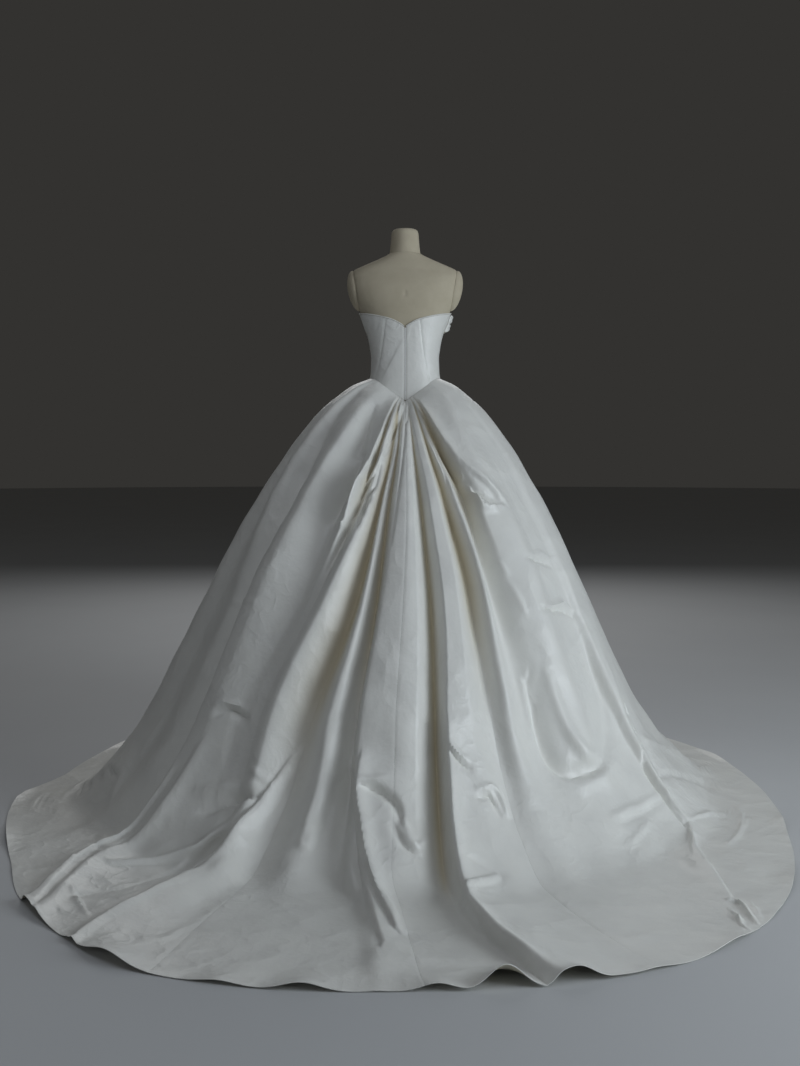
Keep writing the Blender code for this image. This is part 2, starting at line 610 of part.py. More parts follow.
def build_form():
    """Torso, neck block and the two shoulder caps of the limbless form."""
    angle = np.linspace(0.0, 360.0, TORSO_SIDES, endpoint=False)[None, :]
    height = np.array([row[0] for row in TORSO_SECTIONS])[:, None]
    rings = polar(torso_radius(angle, height), angle, height + 0.0 * angle)
    limit = np.where(rings[..., 2] > CAP_PLANE_HEIGHT, cap_plane(rings[..., 2]), 1.0)
    rings[..., 0] = np.clip(rings[..., 0], -limit, limit)
    verts, faces = loft_mesh(rings)
    add_object("form_torso", verts, faces, "linen")
    verts, faces = loft_mesh(oval_rings(NECK_SECTIONS, ROUND_SIDES))
    add_object("form_neck", verts, faces, "linen")
    turn = np.radians(np.linspace(0.0, 360.0, ROUND_SIDES, endpoint=False))
    for name, sign in (("form_cap_right", 1.0), ("form_cap_left", -1.0)):
        rings = []
        for lift in np.radians(np.linspace(0.0, CAP_CROWN_ANGLE, CAP_RINGS)):
            reach = math.cos(lift)
            y = CAP_HALF_DEPTH * reach * np.cos(turn) - CAP_FORWARD_SHIFT
            z = CAP_CENTRE_HEIGHT + CAP_HALF_HEIGHT * reach * np.sin(turn)
            x = cap_plane(z) + CAP_PLANE_GAP + CAP_BULGE * math.sin(lift)
            rings.append(np.stack([sign * x, y, z], axis=-1))
        verts, faces = loft_mesh(rings)
        add_object(name, verts, faces, "linen")


def build_stand():
    """Round base with its hub, and the pole up into the form."""
    hub = BASE_THICKNESS + BASE_HUB_HEIGHT
    base = (
        (0.0, BASE_RADIUS), (BASE_THICKNESS - BASE_EDGE, BASE_RADIUS),
        (BASE_THICKNESS, BASE_RADIUS - BASE_EDGE), (BASE_THICKNESS + BASE_EDGE, BASE_HUB_RADIUS + BASE_EDGE),
        (hub - BASE_EDGE, BASE_HUB_RADIUS), (hub, BASE_HUB_RADIUS - BASE_EDGE),
    )
    verts, faces = loft_mesh(oval_rings([(z, r, r) for z, r in base], TORSO_SIDES))
    add_object("stand_base", verts, faces, "base")
    ends = (hub + SEAM_GAP, TORSO_FOOT_HEIGHT - SEAM_GAP)
    verts, faces = loft_mesh(oval_rings([(z, POLE_RADIUS, POLE_RADIUS) for z in ends], ROUND_SIDES))
    add_object("stand_pole", verts, faces, "steel")


def main():
    for old in list(bpy.data.objects):
        bpy.data.objects.remove(old, do_unlink=True)
    build_skirt()
    build_bodice()
    build_neckline_edge()
    build_zip()
    build_side_bow()
    build_form()
    build_stand()


main()
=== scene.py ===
"""Strapless satin wedding dress with a pleated skirt and train, standing on a limbless dress form.

Metres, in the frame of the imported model: +X is the wearer's right, -Y the back with the train,
+Z up. Angles round the dress are in degrees from the centre back, positive towards the wearer's
right. Lengths down the skirt run from 0 at the waist over 1 at the floor to 2 at the hem.
"""
import math

import bpy
import numpy as np
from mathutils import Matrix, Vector


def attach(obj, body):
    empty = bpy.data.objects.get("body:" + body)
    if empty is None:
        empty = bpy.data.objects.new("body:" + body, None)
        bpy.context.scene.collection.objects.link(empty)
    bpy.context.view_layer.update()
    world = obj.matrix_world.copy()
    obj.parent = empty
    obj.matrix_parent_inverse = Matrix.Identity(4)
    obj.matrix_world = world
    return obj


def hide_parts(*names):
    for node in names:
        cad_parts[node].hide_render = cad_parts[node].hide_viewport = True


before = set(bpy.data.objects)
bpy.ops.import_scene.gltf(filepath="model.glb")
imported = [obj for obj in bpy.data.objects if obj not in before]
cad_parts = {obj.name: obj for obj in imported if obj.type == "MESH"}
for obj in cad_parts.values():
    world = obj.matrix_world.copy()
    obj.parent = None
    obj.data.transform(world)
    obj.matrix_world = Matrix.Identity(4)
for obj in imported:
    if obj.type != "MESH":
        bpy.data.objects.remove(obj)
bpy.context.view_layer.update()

# Camera of the photograph: place, focal length in pixels, row of the horizon
CAMERA_PLACE = (-0.016, -3.81, 1.022)
FOCAL_PIXELS = 1200.0
HORIZON_ROW = 450.0
PICTURE = (800, 1066)
SENSOR_WIDTH_MM = 36.0
VIEW_REACH = 60.0

# Round stage floor: radius, number of sides, distance below the hem
FLOOR_RADIUS = 30.0
FLOOR_SIDES = 96
FLOOR_DROP = 0.0008

SURROUND_COLOUR = "#333230"

# Soft square lights: name, place, target, side in metres, power in watts, colour
LIGHTS = (
    ("key_right", (3.4, -2.4, 1.4), (0.2, -0.5, 0.45), 2.2, 82.0, "#eef7ff"),
    ("fill_left", (-3.0, -4.8, 1.9), (0.0, -0.4, 0.6), 3.0, 11.0, "#eef4ff"),
    ("top_soft", (0.2, -2.6, 4.8), (0.0, -0.7, 0.3), 3.2, 34.0, "#f0f6ff"),
    ("far_front", (0.0, 4.6, 3.6), (0.0, 0.2, 0.7), 3.5, 60.0, "#ffffff"),
)

# Cloth
SKIRT_WALL = 0.0012
BODICE_WALL = 0.0020
SEAM_GAP = 0.0003
WAIST_SEAM_GAP = 0.0004
FORM_CLEARANCE = 0.0022
SEAM_PRESS_SHARE = 0.45
SEAM_PRESS_WIDTH = 0.004
BELL_SIZE = (1.2, 0.88)
BELL_STEP = 0.004
SIDE_BLEND_ANGLE = 8.0
HEM_LIFT_START = 1.80
HEM_LIFT_POWER = 1.6
CREASE_REACH = 3.0
CREASE_TURN_SHARE = 0.35
CREASE_FADE_MARGIN = 0.12
CREASE_FADE_POWER = 0.8
BODICE_CREASE_POWER = 0.3
FLOOR_CREASE_RISE = 0.9
HANGING_CREASE_RISE = 0.25
# fades of the painted shade in the pleat hollows, at its first length and at its last length
HOLLOW_SHADE_FADES = (0.02, 0.05)
RIPPLE_HEIGHT = 0.0016
RIPPLE_SEED = 11
RIPPLE_WAVES = 9
RIPPLE_LENGTHS = (0.09, 0.26)
RIPPLE_LEAN = 0.30
RIPPLE_START = 0.25

# Rows and columns of the grids
HANGING_ROWS = 210
FLOOR_ROWS = 90
HANGING_ROW_POWER = 1.1
COLUMN_SAMPLES = 400
CREASE_SAMPLES = 40
BODICE_ROWS = 54
BODICE_COLUMNS_A_DEGREE = 1.3
BODICE_LEAST_COLUMNS = 12
EDGE_COLUMNS = 300
EDGE_ROWS = 17
ZIP_ROWS = 60
ZIP_COLUMNS = 9
BOW_ROWS = 60
BOW_COLUMNS = 80
TORSO_ROWS = 120
TORSO_COLUMNS = 144
NECK_ROWS = 40
NECK_COLUMNS = 96
CAP_ROWS = 24
CAP_LAST_ANGLE = 86.0

# Form and bodice
WAIST_HEIGHT = 1.247
WAIST_POINT_DROP = 0.074
WAIST_POINT_ANGLE = 60.0
WAIST_ROUNDING_ANGLE = 14.0
NECK_SEAM_HEIGHT = 1.643
NECK_TOP_HEIGHT = 1.722
EDGE_RADIUS = 0.0017
EDGE_STAND_OFF = 0.0008
EDGE_BEND = 178.0
EDGE_CLOTH = 0.0004
EDGE_FULLNESS = 0.97
EDGE_UNEVEN = 0.04
EDGE_WAVES = 37.0
ZIP_HALF_WIDTH = 0.0025
ZIP_OPENING_ANGLE = 2.0
ZIP_THICKNESS = 0.0012
ZIP_RECESS = 0.0004
ZIP_TAPE_SHARE = 0.5
ZIP_TEETH_SHARE = 0.75
ZIP_TOP_DROP = 0.004
ZIP_FOOT_LIFT = 0.0015
TOOTH_PITCH = 0.0015
TOOTH_HALF_SIZE = (0.00085, 0.0003, 0.00045)
TOOTH_SIDE_SHIFT = 0.0006
TOOTH_STAGGER = 0.00035
TOOTH_END_GAP = 0.002
BOW_ANGLES = (93.0, 121.0)
BOW_HEIGHTS = (1.398, 1.450)
BOW_PROUD = 0.014
BOW_WALL = 0.0014
BOW_STAND_OFF = 0.0008
BOW_PINCH = 0.18
BOW_ROUNDNESS = 0.6
BOW_NOTCH = (0.28, 0.52, 0.13)
BOW_FOLD_HEIGHT = 0.0011
BOW_FOLDS = 3
BOW_FOLD_LEAN = 2.0
CAP_CENTRE_HEIGHT = 1.526
CAP_HALF_HEIGHT = 0.064
CAP_HALF_DEPTH = 0.047
CAP_BULGE = 0.027
CAP_BACK_SHIFT = 0.004
CAP_GAP = SEAM_GAP * 1.1
CAP_PLANE_X = 0.1425
CAP_PLANE_HEIGHT = 1.457
CAP_PLANE_SLOPE = 0.165

# Marks of the torso: pressed back seams that lean outwards as they rise, and a dimple between them
BACK_SEAM_ANGLE = 62.0
BACK_SEAM_DEPTH = 0.0007
BACK_SEAM_WIDTH_ANGLE = 1.2
BACK_SEAM_LEAN = 120.0
BACK_SEAM_MIDDLE = 1.55
BACK_SEAM_FOOT = 1.46
BACK_SEAM_FADE = 0.05
DIMPLE_HEIGHT = 1.508
DIMPLE_DEPTH = 0.0030
DIMPLE_HALF_ANGLE = 3.2
DIMPLE_HALF_HEIGHT = 0.007

# Floor
FLOOR_ROUNDING = 0.050
TRAIN_ROUNDING = 0.090
TRAIN_SPREAD_ANGLE = 52.0
FLOOR_SLOPE = 1.136
FLOOR_SETTLE = 0.006
FLOOR_SETTLE_POWER = 8

# Torso sections: height, half breadth, depth to the back, depth to the front
TORSO_SECTIONS = (
    (0.985, 0.150, 0.098, 0.094),
    (1.030, 0.166, 0.112, 0.102),
    (1.080, 0.167, 0.113, 0.102),
    (1.130, 0.155, 0.106, 0.098),
    (1.180, 0.130, 0.096, 0.092),
    (1.230, 0.1115, 0.0875, 0.087),
    (1.270, 0.1045, 0.083, 0.084),
    (1.310, 0.1035, 0.082, 0.086),
    (1.350, 0.1080, 0.084, 0.092),
    (1.385, 0.1155, 0.088, 0.096),
    (1.420, 0.1290, 0.092, 0.100),
    (1.455, 0.1420, 0.095, 0.102),
    (1.490, 0.1640, 0.096, 0.098),
    (1.530, 0.1790, 0.092, 0.088),
    (1.565, 0.1830, 0.080, 0.070),
    (1.590, 0.1630, 0.068, 0.058),
    (1.608, 0.1250, 0.062, 0.054),
    (1.624, 0.0880, 0.056, 0.052),
    (1.636, 0.0620, 0.053, 0.052),
    (1.643, 0.0500, 0.050, 0.052),
)
TORSO_ROUNDNESS = 2.25
BUST_HEIGHT = 1.392
BUST_ANGLE = 145.0
BUST_PROUD = 0.030
BUST_SPREAD_ANGLE = 27.0
BUST_SPREAD_HEIGHT = 0.060

# Neck block sections: share of the way up, height, half breadth, half depth
NECK_SECTIONS = (
    (0.0, NECK_SEAM_HEIGHT + SEAM_GAP, 0.0490, 0.0500),
    (0.2, 1.6650, 0.0462, 0.0480),
    (0.5, 1.6900, 0.0440, 0.0460),
    (0.7, 1.7080, 0.0425, 0.0445),
    (0.8, 1.7160, 0.0395, 0.0415),
    (0.9, 1.7205, 0.0330, 0.0350),
    (1.0, NECK_TOP_HEIGHT, 0.0180, 0.0190),
)

# Neckline: angle, height of the finished edge
NECKLINE = (
    (0.0, 1.405), (10.0, 1.417), (24.0, 1.429), (40.0, 1.438), (62.0, 1.448), (90.0, 1.456),
    (120.0, 1.462), (145.0, 1.470), (165.0, 1.455), (180.0, 1.446),
)

# Bell of the skirt: share of the drop to the floor, share of the spread
BELL = (
    (0.0, 0.0), (0.02, 0.066), (0.046, 0.117), (0.071, 0.160), (0.122, 0.226), (0.173, 0.281),
    (0.225, 0.331), (0.327, 0.420), (0.429, 0.501), (0.532, 0.574), (0.634, 0.647), (0.736, 0.720),
    (0.787, 0.757), (0.839, 0.803), (0.900, 0.872), (0.950, 0.940), (1.0, 1.0),
)

# How far the right flank hangs in from the bell: length, distance in metres
FLANK_ANGLE = 82.0
FLANK_SPREAD_ANGLE = 34.0
FLANK_DRAW = (
    (0.0, 0.0), (0.12, 0.010), (0.30, 0.018), (0.50, 0.030), (0.75, 0.044), (0.88, 0.040), (1.0, 0.014),
    (1.2, 0.0), (2.0, 0.0),
)

# Where the cloth reaches the floor: angle, radius on the wearer's left, radius on the right
FLOOR_CONTACT = (
    (0.0, 1.00, 1.00), (45.0, 1.00, 0.97), (70.0, 0.99, 0.95), (95.0, 0.95, 0.93),
    (135.0, 0.94, 0.93), (180.0, 0.93, 0.93),
)

# Hem on the floor: angle, radius on the wearer's left, radius on the right
HEM = (
    (0.0, 1.547, 1.547), (10.0, 1.560, 1.550), (20.0, 1.555, 1.530), (30.0, 1.475, 1.465),
    (40.0, 1.385, 1.370), (50.0, 1.285, 1.265), (60.0, 1.230, 1.180), (75.0, 1.175, 1.105),
    (90.0, 1.065, 1.065), (110.0, 1.045, 1.040), (140.0, 1.000, 0.995), (180.0, 0.980, 0.980),
)

# Folds of the skirt, going round from the front centre over the wearer's left to the back and the
# right: name, angles at the fold lengths or one for all, heights above the bell in mm at those lengths
FOLD_LENGTHS = (0.0, 0.12, 0.30, 0.50, 0.75, 1.0, 1.3, 2.0)
FOLDS = (
    ("front crest", -180, (0, 6, 12, 16, 20, 16, 4, 0)),
    ("front left hollow", -159, (0, -3, -8, -12, -12, -6, 0, 0)),
    ("side front left crest", -138, (0, 5, 12, 20, 24, 16, 4, 0)),
    ("side left hollow", -120, (0, -4, -9, -14, -14, -6, 0, 0)),
    ("side left crest", -104, (0, 6, 12, 20, 26, 18, 8, 2)),
    ("side seam hollow left", (-90, -90, -89, -89, -89, -88, -88, -88), (0, -2, -5, -8, -8, -4, 0, 0)),
    ("left flank crest", (-80, -79, -76, -74, -74, -73, -72, -70), (0, 5, 10, 14, 16, 12, 6, 4)),
    ("left flank hollow", (-70, -68, -65, -63, -62, -61, -60, -56), (0, 0, -4, -8, -10, 0, 0, 0)),
    ("narrow side pleat", (-60, -58, -56, -53, -54, -56, -55, -50), (0, 12, 24, 12, 2, 4, 10, 4)),
    ("hollow under the left edge", (-54, -51, -48, -46.2, -45.8, -45.8, -46, -39.4),
     (0, -8, -22, -30, -34, -18, -2, 0)),
    ("left overlapping edge", (-46, -43, -43.5, -44.4, -44.2, -44.2, -44.6, -37.6),
     (0, 4, 12, 32, 40, 46, 42, 18)),
    ("left broad crest", (-36, -35, -38, -40, -40.5, -40, -38, -33.4), (0, 12, 30, 42, 46, 34, 18, 8)),
    ("left pocket", (-22, -24, -27, -29, -34, -32, -34, -32), (0, -8, -26, -8, 24, 18, 10, 2)),
    ("left waist pleat edge", (-12.6, -14, -19, -25.6, -32, -30, -31.5, -30.8),
     (0, 10, 26, 6, 26, 18, 8, 2)),
    ("hollow under the waist pleat", (-10.8, -12.4, -17.6, -23.6, -29.6, -28, -29.4, -30),
     (0, -6, -17, 8, 30, 12, 2, 0)),
    ("left bright crest", (-8.8, -9.6, -13.2, -20, -26.6, -25, -26, -28), (0, 5, 18, 34, 42, 38, 34, 10)),
    ("left gore seam hollow", (-6.6, -6.8, -10, -13.6, -20, -21, -20.5, -19),
     (0, -4, -16, -22, -18, -4, 2, 2)),
    ("left narrow crest", (-5, -5.1, -8.2, -10.8, -15, -15.6, -14.6, -13), (0, 3, 7, 16, 25, 18, 4, 4)),
    ("left dark hollow", (-3.5, -3.7, -6.4, -8, -10.4, -9.6, -6.6, -4.6),
     (0, -3, -14, -22, -24, -12, 0, 0)),
    ("centre left edge", (-1.8, -1.9, -3.2, -5.6, -8.4, -7, -3.8, -1.6), (0, 5, 20, 32, 40, 44, 32, 8)),
    ("centre back crest", (0, 0.4, 0.4, -0.6, -2, -2, -0.6, 1.2), (0, 7, 26, 40, 46, 40, 14, 7)),
    ("centre right edge", (1.8, 2.1, 2.6, 2.6, 1.6, 1, 1.4, 4), (0, 5, 20, 33, 38, 28, 6, 3)),
    ("centre hollow", (3.5, 4.1, 6, 6.8, 5.8, 5.0, 5.2, 9.6), (0, -4, -18, -24, -22, -14, -2, 0)),
    ("right gore left edge", (5.2, 6.2, 8.8, 9.8, 7.8, 6.8, 6.9, 11.3), (0, 4, 18, 30, 44, 48, 40, 30)),
    ("right gore crest", (7, 8.2, 11.4, 13, 12, 12, 13, 15), (0, 5, 20, 31, 36, 24, 13, 12)),
    ("right gore seam hollow", (8.8, 10.8, 15.6, 18, 17.6, 17.4, 17.4, 19),
     (0, -4, -14, -18, -4, 6, 2, 0)),
    ("right narrow edge", (10.6, 12.2, 18.4, 21, 20.8, 21.4, 21.2, 22.4), (0, 5, 18, 32, 26, 12, 4, 2)),
    ("right dark pocket", (12.5, 15.4, 23.6, 25.4, 26.4, 27, 25.4, 25.2),
     (0, -6, -26, -28, -14, 4, 2, 0)),
    ("right waist pleat edge", (15, 17.4, 26, 30, 32, 33, 29.6, 27.4), (0, 12, 30, 18, 6, 6, 2, 1)),
    ("right broad crest", (26, 30, 34.6, 37, 38, 39, 33.4, 29.2), (0, 11, 30, 38, 22, 6, 2, 0)),
    ("right hollow", (42, 44, 45, 45, 44.6, 44.4, 37, 30.6), (0, 4, 8, 6, -2, -2, 0, 2)),
    ("hollow under the right edge", (52, 53, 53, 53, 51.6, 49.4, 40.6, 32.2), (0, 2, 4, 2, -6, -2, 4, 4)),
    ("right overlapping edge", (60, 59, 58, 57, 53.6, 51.2, 43, 34.4), (0, 6, 12, 18, 22, 22, 9, 6)),
    ("right flank crest", (70, 69, 68, 67, 63, 60, 53, 43), (0, 6, 14, 18, 20, 14, 8, 8)),
    ("right flank hollow", (81, 80, 79, 78, 76, 75, 70, 62), (0, -2, -5, -8, -6, -2, 2, 4)),
    ("side seam crest right", (94, 94, 94, 94, 93, 92, 90, 86), (0, 5, 12, 18, 22, 14, 6, 3)),
    ("side right hollow", 110, (0, -4, -9, -14, -14, -6, 0, 0)),
    ("side front right crest", 132, (0, 5, 12, 20, 24, 16, 4, 0)),
    ("front right hollow", 157, (0, -3, -8, -12, -12, -6, 0, 0)),
)

# Gores: node, first fold line, last fold line, columns for each fold at its start and at its end
GORES = (
    ("skirt_front", "side front right crest", "side front left crest", 12, 12),
    ("skirt_side_front_left", "side front left crest", "side seam hollow left", 12, 12),
    ("skirt_side_back_left", "side seam hollow left", "left gore seam hollow", 5, 24),
    ("skirt_back_left", "left gore seam hollow", "centre back crest", 24, 24),
    ("skirt_back_right", "centre back crest", "right gore seam hollow", 24, 24),
    ("skirt_side_back_right", "right gore seam hollow", "side seam crest right", 24, 8),
    ("skirt_side_front_right", "side seam crest right", "side front right crest", 12, 12),
)

# Creases pressed into the satin: path as (angle, length) pairs, widths in mm on the left and on the
# right of the path as seen from outside with the path running down the page, height in mm
CREASES = (
    # left waist flap: its overlapping edge, pockets, loop and knot
    (((-2, 0.035), (-8, 0.1), (-10, 0.17), (-11.5, 0.205)), 4, 18, 11),
    (((-5, 0.095), (-10, 0.165), (-10.5, 0.195)), 9, 5, -18),
    (((-11.5, 0.205), (-14, 0.245), (-18, 0.285), (-19, 0.32)), 4, 12, 15),
    (((-11.5, 0.225), (-12.5, 0.27), (-15, 0.305), (-15, 0.34)), 8, 5, -18),
    (((-30, 0.07), (-27, 0.135), (-25.5, 0.195)), 15, 18, -18),
    (((-21.5, 0.205), (-24, 0.245), (-26.5, 0.3), (-28, 0.35)), 12, 14, -26),
    (((-16.5, 0.23), (-18.5, 0.285), (-20.5, 0.345)), 6, 8, 12),
    (((-19, 0.345), (-20.5, 0.365), (-22, 0.365)), 8, 7, 14),
    (((-13, 0.3), (-15.5, 0.325), (-16, 0.365)), 8, 5, -18),
    (((-15.5, 0.285), (-18.5, 0.315), (-19.5, 0.34)), 3, 6, 7),
    # right waist flap: its edge over the pocket, the hanging lip and the ridge below it
    (((10.5, 0.05), (16.5, 0.125), (19.5, 0.185), (21.5, 0.215), (24, 0.26)), 24, 4, 12),
    (((19.5, 0.185), (21.5, 0.225), (24, 0.26), (25, 0.285)), 6, 12, -20),
    (((22, 0.235), (24.5, 0.28), (26.5, 0.32), (31, 0.34)), 7, 20, 12),
    (((24.5, 0.27), (26, 0.305), (30, 0.325), (34, 0.335)), 11, 5, -24),
    (((25.5, 0.245), (30, 0.28), (33.5, 0.305), (36, 0.325)), 24, 6, 16),
    (((25, 0.3), (27, 0.335), (31, 0.34), (34.5, 0.34)), 4, 14, 9),
    (((40.5, 0.065), (32, 0.145), (31, 0.225), (31, 0.3)), 16, 26, 7),
    (((11, 0.04), (12, 0.125), (15, 0.2), (17, 0.27), (16, 0.385)), 5, 3, -6),
    # grooves between the pleats under the waist point
    (((-1, 0.04), (-5.5, 0.16), (-7, 0.245), (-8.5, 0.33), (-9.5, 0.4)), 4, 4, -6),
    (((0, 0.095), (-1.5, 0.21), (-3, 0.295), (-4.5, 0.4)), 4, 4, -5),
    (((5.5, 0.03), (1, 0.1)), 4, 4, -6),
    # dents of the right flank
    (((37, 0.45), (44, 0.455), (51.5, 0.47)), 5, 9, -10),
    (((39, 0.445), (47, 0.445), (53.5, 0.46)), 8, 4, 5),
    (((37, 0.55), (46.5, 0.555), (53.5, 0.575)), 5, 9, -11),
    (((37.5, 0.545), (49, 0.545), (54.5, 0.57)), 8, 4, 6),
    (((26.5, 0.44), (28.5, 0.455), (29.5, 0.47)), 8, 7, 5),
    (((30, 0.495), (31, 0.53), (31.5, 0.55)), 9, 9, 6),
    # the long hollow that turns up to the right above the floor
    (((29, 0.67), (28, 0.755), (28.5, 0.805), (31.5, 0.84), (35.5, 0.845), (39.5, 0.84)), 30, 12, -28),
    (((33, 0.655), (33.5, 0.745), (35, 0.795), (37, 0.82), (41, 0.83)), 20, 14, 13),
    (((31.5, 0.64), (28, 0.705), (26.5, 0.77)), 14, 20, 6),
    (((30, 0.85), (32.5, 0.865), (37.5, 0.86), (44, 0.84)), 10, 22, 7),
    (((59.5, 0.68), (56.5, 0.755), (54.5, 0.825), (52, 0.885), (51.5, 0.935), (51, 0.98)), 14, 5, 12),
    (((58, 0.68), (55, 0.755), (53, 0.825), (50.5, 0.885), (50, 0.935), (49.5, 0.98)), 7, 75, 18),
    (((57, 0.85), (55, 0.9), (52.5, 0.94), (52, 0.975)), 7, 4, -9),
    (((53, 0.655), (51, 0.735), (46.5, 0.8), (38.5, 0.84)), 16, 16, -7),
    (((35.5, 0.93), (41, 0.925), (51, 0.925)), 7, 16, 7),
    (((37, 0.945), (41.5, 0.94), (49, 0.935)), 9, 12, -8),
    (((35, 0.995), (39, 0.975), (43, 0.96)), 9, 9, 5),
    # end of the long left crest above the train, with its three-cornered dent
    (((-8, 0.8), (-8, 0.84), (-6.5, 0.925), (-5, 1.015), (-3, 1.255), (-1, 1.5)), 22, 4, 17),
    (((-8, 0.84), (-6, 0.835), (-3.5, 0.83)), 12, 7, 10),
    (((-7, 0.845), (-4, 0.855), (-1.5, 0.88), (-1, 0.905)), 10, 12, -18),
    (((-10.5, 0.805), (-8.5, 0.88), (-6.5, 0.995), (-4.5, 1.29), (-2.5, 1.625)), 6, 24, -18),
    (((-0.5, 0.905), (0, 0.92), (1, 0.935)), 6, 8, 7),
    (((0, 0.935), (1.5, 0.955), (3, 0.935)), 9, 12, 12),
    (((-2, 0.915), (-0.5, 0.955), (1.5, 0.975)), 8, 12, -10),
    (((-2.5, 1.235), (-1.5, 1.355), (-1, 1.485)), 8, 12, 7),
    # left gores: crumples and the three-cornered dent at the left edge
    (((-39, 0.745), (-36.5, 0.735), (-32.5, 0.745)), 8, 12, -14),
    (((-40.5, 0.735), (-37.5, 0.725), (-33.5, 0.73)), 9, 5, 7),
    (((-36, 0.88), (-31.5, 0.865), (-26, 0.855)), 10, 20, 8),
    (((-33, 0.92), (-29.5, 0.89), (-25, 0.875), (-23.5, 0.845)), 20, 8, -20),
    (((-27.5, 0.83), (-25.5, 0.84), (-23.5, 0.845)), 10, 10, 7),
    (((-15, 0.955), (-15, 0.9), (-14.5, 0.835), (-14.5, 0.765)), 14, 20, 8),
    (((-13, 0.95), (-13, 0.89), (-12.5, 0.825)), 10, 14, -6),
    (((-53, 0.54), (-50, 0.545), (-40.5, 0.54)), 8, 9, 5),
    (((-15.5, 0.95), (-14.5, 0.955), (-14, 0.935)), 8, 14, 6),
    # right gore above its corner: dents, and the corner where the edge turns
    (((7, 0.765), (8.5, 0.785), (10.5, 0.8)), 8, 5, 11),
    (((7.5, 0.78), (9, 0.8), (11, 0.815)), 5, 9, -11),
    (((12, 0.85), (14.5, 0.845), (16, 0.86), (16.5, 0.89)), 7, 8, 11),
    (((11.5, 0.865), (13.5, 0.86), (15, 0.89)), 6, 8, -12),
    (((7.5, 0.735), (7, 0.855), (6.5, 0.96), (6.5, 1.265)), 22, 4, 18),
    (((6.5, 0.735), (6, 0.86), (6, 0.995), (6.5, 1.25)), 6, 18, -9),
    (((6.5, 1.255), (8.5, 1.17), (11.5, 1.075)), 12, 7, 16),
    (((6.5, 1.265), (7.5, 1.57), (9, 1.8), (10, 2.0)), 20, 4, 18),
    (((6, 1.285), (7, 1.555), (8, 1.8)), 6, 16, -7),
    (((8, 0.995), (10, 1.015), (12, 1.055)), 14, 16, -6),
    # train on the right: its long crease, the knot at its end and soft marks
    (((50.5, 0.975), (46.5, 1.15), (41.5, 1.36), (34.5, 1.715)), 5, 60, 13),
    (((33.5, 1.73), (34, 1.79), (32.5, 1.9), (31.5, 1.97)), 7, 4, 13),
    (((32, 1.785), (31.5, 1.845), (30, 1.945), (30, 2.0)), 7, 4, 11),
    (((33, 1.775), (32.5, 1.85), (31.5, 1.935)), 4, 4, -6),
    (((29, 1.825), (31, 1.845), (31, 1.91)), 7, 9, 6),
    (((35, 1.825), (34, 1.895), (32.5, 1.965)), 6, 7, 5),
    (((29, 1.93), (29, 2.0), (31, 2.0)), 6, 6, -8),
    (((17.5, 1.295), (20.5, 1.515), (25, 1.745)), 24, 30, -4),
    (((17, 1.61), (20.5, 1.73), (25.5, 1.865)), 20, 24, 4),
    (((55, 0.9), (64.5, 0.925), (78, 0.99), (81.5, 1.53), (78.5, 1.76)), 8, 14, -10),
    (((50.5, 0.99), (58, 1.045), (65, 1.315), (58, 1.47), (49.5, 1.42)), 10, 6, 7),
    (((68, 1.375), (64, 1.45), (59.5, 1.545)), 4, 5, 8),
    (((58.5, 0.835), (80, 0.9), (86, 0.96), (100, 1.87)), 8, 9, 9),
    # train on the left: long creases of the lobe and the folded strip at its edge
    (((-28, 1.98), (-28.5, 1.78), (-28, 1.56), (-27.5, 1.32), (-27, 1.08), (-25.5, 0.95), (-23.5, 0.86),
      (-21.5, 0.79)), 6, 20, 18),
    (((-35, 1.71), (-33.5, 1.6), (-32, 1.42), (-31, 1.22), (-30, 1.05), (-27.5, 0.95), (-24.5, 0.88)),
     13, 15, -24),
    (((-39, 1.36), (-36.5, 1.22), (-33, 1.07), (-29.5, 0.97), (-26, 0.905), (-23.5, 0.845)), 16, 8, 16),
    (((-36.5, 1.705), (-33.5, 1.75), (-30.5, 1.79)), 4, 9, 8),
    (((-34, 1.885), (-30.5, 1.93), (-28, 1.98)), 4, 6, -9),
    (((-35, 2.0), (-37.5, 1.78), (-41.5, 1.34), (-41, 0.97), (-40.5, 0.875), (-40, 0.81)), 10, 26, 9),
    (((-35.5, 2.0), (-39.5, 1.71), (-44, 1.29), (-43.5, 0.955), (-43, 0.87)), 8, 16, -9),
    (((-50, 1.645), (-49, 1.38), (-42.5, 1.32)), 8, 12, -5),
    (((-47, 2.0), (-46, 1.69), (-41, 1.48)), 6, 10, 4),
    (((-73, 1.725), (-74.5, 1.365), (-84, 1.15)), 10, 14, 9),
    (((-75.5, 1.745), (-71, 1.57), (-67.5, 1.44)), 5, 6, -11),
    (((-95.5, 1.475), (-69.5, 0.925), (-65, 0.915)), 6, 6, -9),
    (((-77, 1.93), (-75, 1.675), (-68.5, 1.38)), 8, 10, -9),
    (((-39, 2.0), (-34, 1.995), (-27.5, 2.0)), 10, 10, 8),
    (((-35.5, 2.0), (-33, 2.0), (-29, 2.0)), 8, 10, -6),
    (((-22.5, 1.765), (-21, 1.69), (-21, 1.6)), 12, 10, 5),
    (((-58.5, 0.955), (-64, 0.905), (-66.5, 0.865)), 14, 10, 5),
    # softer ones on the hidden sides
    (((100, 0.35), (104, 0.5), (106, 0.66)), 22, 12, 7),
    (((-101, 0.4), (-106, 0.56), (-108, 0.7)), 12, 22, 7),
    (((122, 0.7), (128, 0.78), (136, 0.8)), 16, 12, -8),
    (((-126, 0.66), (-132, 0.75), (-140, 0.78)), 12, 16, -8),
    (((166, 0.6), (170, 0.75), (172, 0.88)), 18, 14, 8),
    (((-168, 0.52), (-172, 0.66), (-171, 0.8)), 14, 18, 8),
    (((96, 0.1), (100, 0.22), (101, 0.34)), 14, 8, 5),
